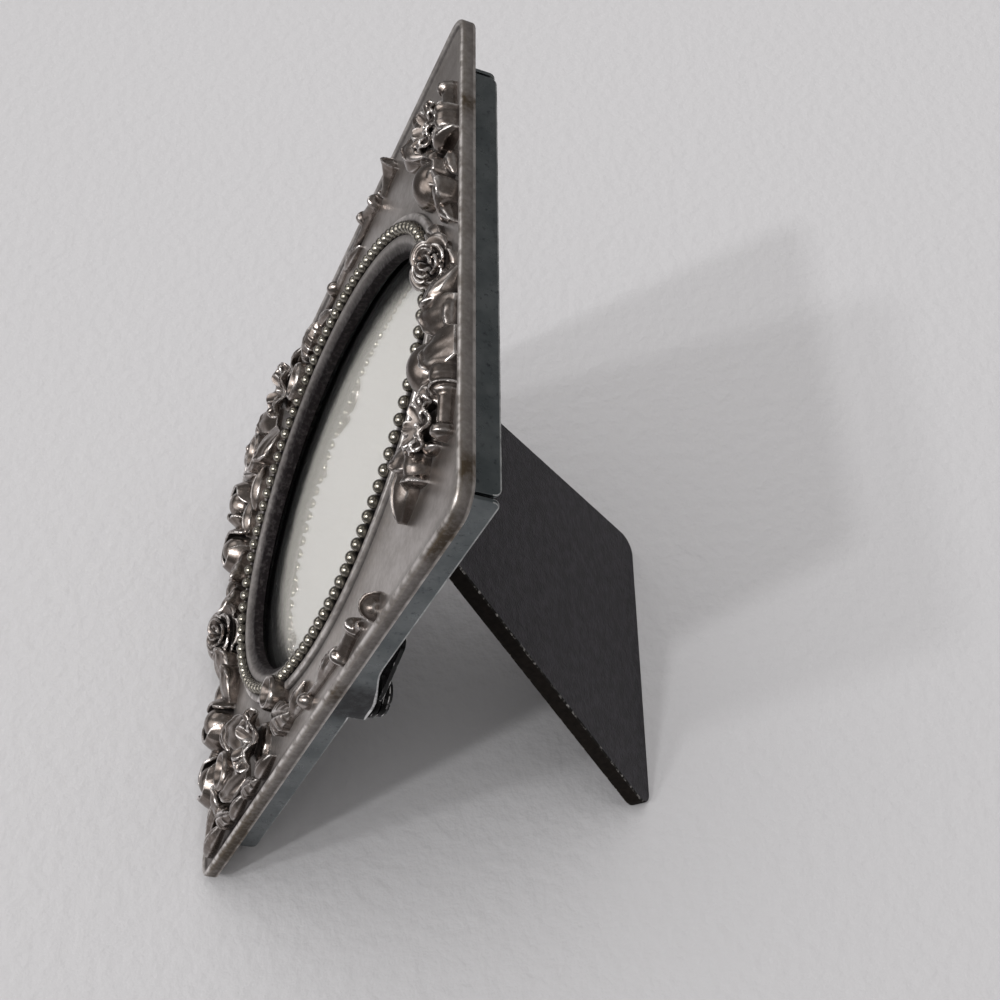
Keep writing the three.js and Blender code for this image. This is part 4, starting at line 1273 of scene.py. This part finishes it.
# %% Dark sheet of the tray
SHEET_DARK, SHEET_LIGHT = (0.095, 0.11, 0.115, 1), (0.165, 0.18, 0.185, 1)
SHEET_SPOT, LUG_DARK_TONE = (0.06, 0.066, 0.072, 1), (0.01, 0.01, 0.012, 1)
WORN, HIGHLIGHT_WHITE = (0.6, 0.61, 0.61, 1), (1.0, 1.0, 1.0, 1)
DARK_OVER_LUG = 0.8


def sheet_ground(tree, place):
    clouds = ramp(tree, noise(tree, place, 0.18, 4.0), 0.3, 0.72)
    spots = ramp(tree, noise(tree, place, 1.4, 4.0), 0.55, 0.75)
    return mix_colour(tree, spots, mix_colour(tree, clouds, SHEET_DARK, SHEET_LIGHT), SHEET_SPOT)


# The worn back edge, partly a painted highlight, widened near the lug.
def wear_and_highlight_mask(tree, place, up, from_lug):
    depth = along(tree, place, BACKWARD, BACKWARD.dot(TO_FRAME.translation) / MM)
    lug_low, lug_high, lug_end = LUG_RUN
    foot = ramp(tree, up, lug_low - 0.02, lug_low, TRAY_DEPTH, LUG_DEPTH)
    slope = ramp(tree, up, lug_high, lug_end, LUG_DEPTH, TRAY_DEPTH)
    back_edge = calculate(tree, "MINIMUM", foot, slope, clamp=False)
    inside = calculate(tree, "SUBTRACT", back_edge, depth, clamp=False)
    inside = calculate(tree, "SUBTRACT", inside, ramp(tree, from_lug, 4.5, 2.0, 0.0, 0.2), clamp=False)
    line = product(tree, ramp(tree, inside, 0.26, 0.14), ramp(tree, inside, -0.35, -0.3))
    line = product(tree, line, ramp(tree, noise(tree, place, 0.5, 3.0), 0.3, 0.6, 0.35, 0.85))
    return product(tree, line, ramp(tree, up, lug_low - 6, lug_low, 0.2, 1.0))


def sheet_material():
    material, tree, shader = new_material("dark_sheet")
    place = surface_mm(tree)
    up = along(tree, place, UPWARD, UPWARD.dot(TO_FRAME.translation) / MM)
    from_lug = calculate(tree, "SUBTRACT", up, LUG_RUN[1] + DARK_OVER_LUG, clamp=False)
    from_lug = calculate(tree, "ABSOLUTE", from_lug, 0, clamp=False)
    blotchy_darkening = ramp(tree, noise(tree, place, 0.9, 4.0), 0.3, 0.6, 0.7, 0.95)
    darker_round_lug = product(tree, ramp(tree, from_lug, 6.0, 2.5), blotchy_darkening)
    tone = mix_colour(tree, darker_round_lug, sheet_ground(tree, place), LUG_DARK_TONE)
    # Wear and painted highlight: the line's tone turns white near the lug.
    bare = mix_colour(tree, ramp(tree, from_lug, 5.0, 2.5), WORN, HIGHLIGHT_WHITE)
    tone = mix_colour(tree, wear_and_highlight_mask(tree, place, up, from_lug), tone, bare)
    tree.links.new(tone, shader.inputs["Base Color"])
    tree.links.new(ramp(tree, noise(tree, place, 0.6, 3.0), 0.2, 0.8, 0.24, 0.38), shader.inputs["Roughness"])
    set_inputs(shader, Metallic=0.85)
    add_bump(tree, shader, noise(tree, place, 2.5, 3.0), 0.15, 0.04)
    return material


sheet_finish = sheet_material()
print("sheet nodes:", len(sheet_finish.node_tree.nodes))

# %% [markdown]
# The other metals differ only in their tones and gloss, so one function makes them all: the sheared edge of
# the sheet, black lacquer on the buttons and screws, also painted shade round the tray's window, the bright
# metal where it is rubbed through, partly a painted highlight, and the dull zinc of the hinge with its own
# rubbed edges.

# %% Sheared edge, lacquer and zinc
def plain_metal(name, dark, light, roughness, metallic, grain, mirror=0.5, low=0.3, high=0.7):
    material, tree, shader = new_material(name)
    place = surface_mm(tree)
    tone = mix_colour(tree, ramp(tree, noise(tree, place, grain, 4.0), low, high), dark, light)
    tree.links.new(tone, shader.inputs["Base Color"])
    spread = ramp(tree, noise(tree, place, grain * 3, 3.0), 0.2, 0.8, roughness - 0.07, roughness + 0.09)
    tree.links.new(spread, shader.inputs["Roughness"])
    set_inputs(shader, Metallic=metallic, Specular_IOR_Level=mirror)
    add_bump(tree, shader, noise(tree, place, grain * 6, 2.0), 0.12, 0.03)
    return material


SHEARED = (0.16, 0.165, 0.165, 1), (0.62, 0.63, 0.63, 1)
LACQUER = (0.002, 0.002, 0.002, 1), (0.006, 0.0055, 0.0055, 1)
LACQUER_WEAR_AND_HIGHLIGHT = (0.006, 0.006, 0.006, 1), (0.85, 0.83, 0.82, 1)
ZINC = (0.36, 0.365, 0.37, 1), (0.52, 0.525, 0.53, 1)
RUBBED_ZINC = (0.55, 0.55, 0.55, 1), (0.75, 0.75, 0.75, 1)
sheared_edge = plain_metal("sheared_edge", *SHEARED, roughness=0.4, metallic=0.3, grain=0.5)
black_lacquer_and_shade = plain_metal("black_lacquer_and_shade", *LACQUER, roughness=0.2, metallic=0.0, grain=1.0, mirror=0.1)
# Lacquer worn through on the rounded edges, partly a painted highlight on the rims of buttons and screws.
lacquer_wear_and_highlight = plain_metal(
    "lacquer_wear_and_highlight", *LACQUER_WEAR_AND_HIGHLIGHT, roughness=0.22, metallic=0.6, grain=0.6,
    mirror=0.1, low=0.5, high=0.62,
)
zinc = plain_metal("dull_zinc", *ZINC, roughness=0.38, metallic=1.0, grain=0.8)
bright_zinc = plain_metal("rubbed_zinc", *RUBBED_ZINC, roughness=0.28, metallic=1.0, grain=1.2)
print("metals:", [metal.name for metal in (sheared_edge, black_lacquer_and_shade, lacquer_wear_and_highlight, zinc, bright_zinc)])

# %% [markdown]
# The boards are covered in charcoal leatherette, whose grain is small pebbles broken up by noise. Their sawn
# edges are stained dark brown, and the corners are rubbed pale in places, partly a painted highlight.

# %% Leatherette and sawn edges
LEATHER_DARK, LEATHER_LIGHT = (0.011, 0.0095, 0.0125, 1), (0.03, 0.0265, 0.033, 1)
SAWN = (0.007, 0.0055, 0.0045, 1), (0.014, 0.011, 0.009, 1)
BOARD_WEAR_AND_HIGHLIGHT = (0.015, 0.014, 0.013, 1), (0.5, 0.48, 0.46, 1)


def leatherette_material():
    material, tree, shader = new_material("leatherette")
    place = surface_mm(tree)
    pebbles = add_node(tree, "ShaderNodeTexVoronoi", (-700, -600), feature="F1")
    set_inputs(pebbles, Scale=2.6)
    tree.links.new(place, pebbles.inputs["Vector"])
    broken = noise(tree, place, 5.0, 3.0)
    grain = calculate(tree, "MULTIPLY", pebbles.outputs["Distance"], broken, clamp=False)
    rubbed = ramp(tree, noise(tree, place, 0.7, 6.0), 0.35, 0.68)
    tree.links.new(mix_colour(tree, rubbed, LEATHER_DARK, LEATHER_LIGHT), shader.inputs["Base Color"])
    set_inputs(shader, Roughness=0.6, Specular_IOR_Level=0.3)
    add_bump(tree, shader, grain, 0.9, 0.2)
    return material


def board_edge_material(name, dark, light, low=0.3, high=0.7):
    material, tree, shader = new_material(name)
    place = surface_mm(tree)
    fibres = noise(tree, place, 1.2, 5.0)
    tree.links.new(mix_colour(tree, ramp(tree, fibres, low, high), dark, light), shader.inputs["Base Color"])
    set_inputs(shader, Roughness=0.75, Specular_IOR_Level=0.06)
    add_bump(tree, shader, fibres, 0.4, 0.1)
    return material


leatherette = leatherette_material()
board_edge = board_edge_material("board_edge", *SAWN)
# Pale rubbed corners, partly a painted highlight along the edges.
board_wear_and_highlight = board_edge_material("board_wear_and_highlight", *BOARD_WEAR_AND_HIGHLIGHT, low=0.5, high=0.75)
print("board finishes:", [finish.name for finish in (leatherette, board_edge, board_wear_and_highlight)])

# %% [markdown]
# The card is plain cream stock. Behind the window it darkens to a feathered black margin, because the real
# card lies in the shade of the flange. The pane is clear glass. It lets shadow and diffuse rays pass
# straight through, so that the card behind it gets its light without noise.

# %% Card and glass
CARD_DARK, CARD_LIGHT = (0.68, 0.65, 0.60, 1), (0.73, 0.705, 0.66, 1)
MARGIN = (0.012, 0.011, 0.011, 1)
MARGIN_START, MARGIN_END, MARGIN_WAVE = 0.72, 1.0, 0.16
GLASS = (0.97, 0.985, 0.975, 1)
CLEAN_HALF_WIDTH = OVAL_HALF_WIDTH - FLANGE_WIDTH
CLEAN_HALF_HEIGHT = OVAL_HALF_HEIGHT - FLANGE_WIDTH


def card_material():
    material, tree, shader = new_material("cream_card")
    place = surface_mm(tree)
    fibres = noise(tree, place, 1.8, 5.0)
    tone = mix_colour(tree, ramp(tree, fibres, 0.3, 0.7), CARD_DARK, CARD_LIGHT)
    across = along(tree, place, (1 / CLEAN_HALF_WIDTH, 0, 0), 0)
    middle = UPWARD.dot(TO_FRAME @ Vector((0, OVAL_CENTRE, 0))) / MM
    up = along(tree, place, UPWARD / CLEAN_HALF_HEIGHT, middle / CLEAN_HALF_HEIGHT)
    squares = calculate(tree, "MULTIPLY", across, across, clamp=False)
    squares = calculate(tree, "ADD", squares, calculate(tree, "MULTIPLY", up, up, clamp=False), clamp=False)
    wavy = calculate(tree, "MULTIPLY_ADD", noise(tree, place, 1.2, 3.0), MARGIN_WAVE, clamp=False)
    tree.links.new(squares, wavy.node.inputs[2])
    tone = mix_colour(tree, ramp(tree, wavy, MARGIN_START, MARGIN_END), tone, MARGIN)
    tree.links.new(tone, shader.inputs["Base Color"])
    set_inputs(shader, Roughness=0.8)
    add_bump(tree, shader, noise(tree, place, 6.0, 2.0), 0.1, 0.03)
    return material


def glass_material():
    material, tree, shader = new_material("pane_glass")
    set_inputs(shader, Base_Color=GLASS, Roughness=0.02, IOR=1.46, Transmission_Weight=1.0)
    path = add_node(tree, "ShaderNodeLightPath", (-300, 400))
    clear = add_node(tree, "ShaderNodeBsdfTransparent", (0, 300))
    either = calculate(tree, "MAXIMUM", path.outputs["Is Shadow Ray"], path.outputs["Is Diffuse Ray"])
    choose = add_node(tree, "ShaderNodeMixShader", (300, 200))
    tree.links.new(either, choose.inputs["Fac"])
    tree.links.new(shader.outputs["BSDF"], choose.inputs[1])
    tree.links.new(clear.outputs["BSDF"], choose.inputs[2])
    tree.links.new(choose.outputs["Shader"], tree.nodes["Material Output"].inputs["Surface"])
    return material


card_stock = card_material()
pane_glass = glass_material()
print("materials:", len(bpy.data.materials))

# %% [markdown]
# Each node is now dressed with its rounded copy. The tray needs one more look at every face: its window's
# edge lies in black shade, and only the sheared edge at its back is bright.

# %% Tray
ROUNDING = {
    "tray": 0.1, "glass": 0.08, "card": 0.05, "button": 0.08, "screw": 0.07,
    "hinge": 0.08, "pin": 0.1, "tack": 0.08, "board": 0.15, "leg": 0.2,
}
WINDOW_SHARE = 1.1
BACK_ZONE = 1


def oval_share(place):
    return math.hypot(place.x / OVAL_HALF_WIDTH, (place.y - OVAL_CENTRE) / OVAL_HALF_HEIGHT)


def dress_tray():
    mesh = rounded_copy("back_tray", ROUNDING["tray"])
    to_drawing = TO_FRAME.inverted()
    for face in mesh.polygons:
        place = to_drawing @ face.center
        if oval_share(place) < WINDOW_SHARE:
            # Painted shade: the faces round the window take the black lacquer, which stands for the shade
            # there.
            face.material_index = 2
        elif place.z > BACK_ZONE - TRAY_DEPTH:
            face.material_index = 0
    finishes = [sheet_finish, sheared_edge, black_lacquer_and_shade]
    dress("back_tray_dressed", mesh, finishes, "frame", ["back_tray"], False)


dress_tray()


# %% Panes, buttons and hinge
def dress_node(node, kind, materials, body):
    mesh = rounded_copy(node, ROUNDING[kind])
    dress(node + "_dressed", mesh, materials, body, [node], False)


LACQUERED, ZINCED = [black_lacquer_and_shade, lacquer_wear_and_highlight], [zinc, bright_zinc]
dress_node("glass_pane", "glass", [pane_glass, pane_glass], "frame")
dress_node("picture_card", "card", [card_stock, card_stock], "frame")
for side in ("right", "left"):
    dress_node("turn_button_" + side, "button", LACQUERED, "button_" + side)
    dress_node("button_screw_" + side, "screw", LACQUERED, "frame")
dress_node("hinge_board_leaf", "hinge", ZINCED, "frame")
dress_node("hinge_pin", "pin", ZINCED, "frame")
dress_node("hinge_leg_leaf", "hinge", ZINCED, "leg")
for number in ("1", "2"):
    dress_node("board_tack_" + number, "tack", ZINCED, "frame")
    dress_node("leg_tack_" + number, "tack", ZINCED, "leg")

# %% [markdown]
# A board's covering lies on its two broad faces, so a face that looks another way is a sawn edge. The
# broad faces are found by the largest face of the imported node.

# %% Boards: covered faces, stained sawn edges, rubbed corners with painted highlight
FACES_ALIKE = 0.9


def widest_normal(node):
    faces = frame["nodes"][node].data.polygons
    return max(faces, key=lambda face: face.area).normal.copy()


def dress_board(node, kind, body):
    mesh = rounded_copy(node, ROUNDING[kind])
    broad = widest_normal(node)
    for face in mesh.polygons:
        if face.material_index == 0 and abs(face.normal.dot(broad)) < FACES_ALIKE:
            face.material_index = 2
    finishes = [leatherette, board_wear_and_highlight, board_edge]
    dress(node + "_dressed", mesh, finishes, body, [node], False)


dress_board("back_board", "board", "frame")
dress_board("easel_leg", "leg", "leg")
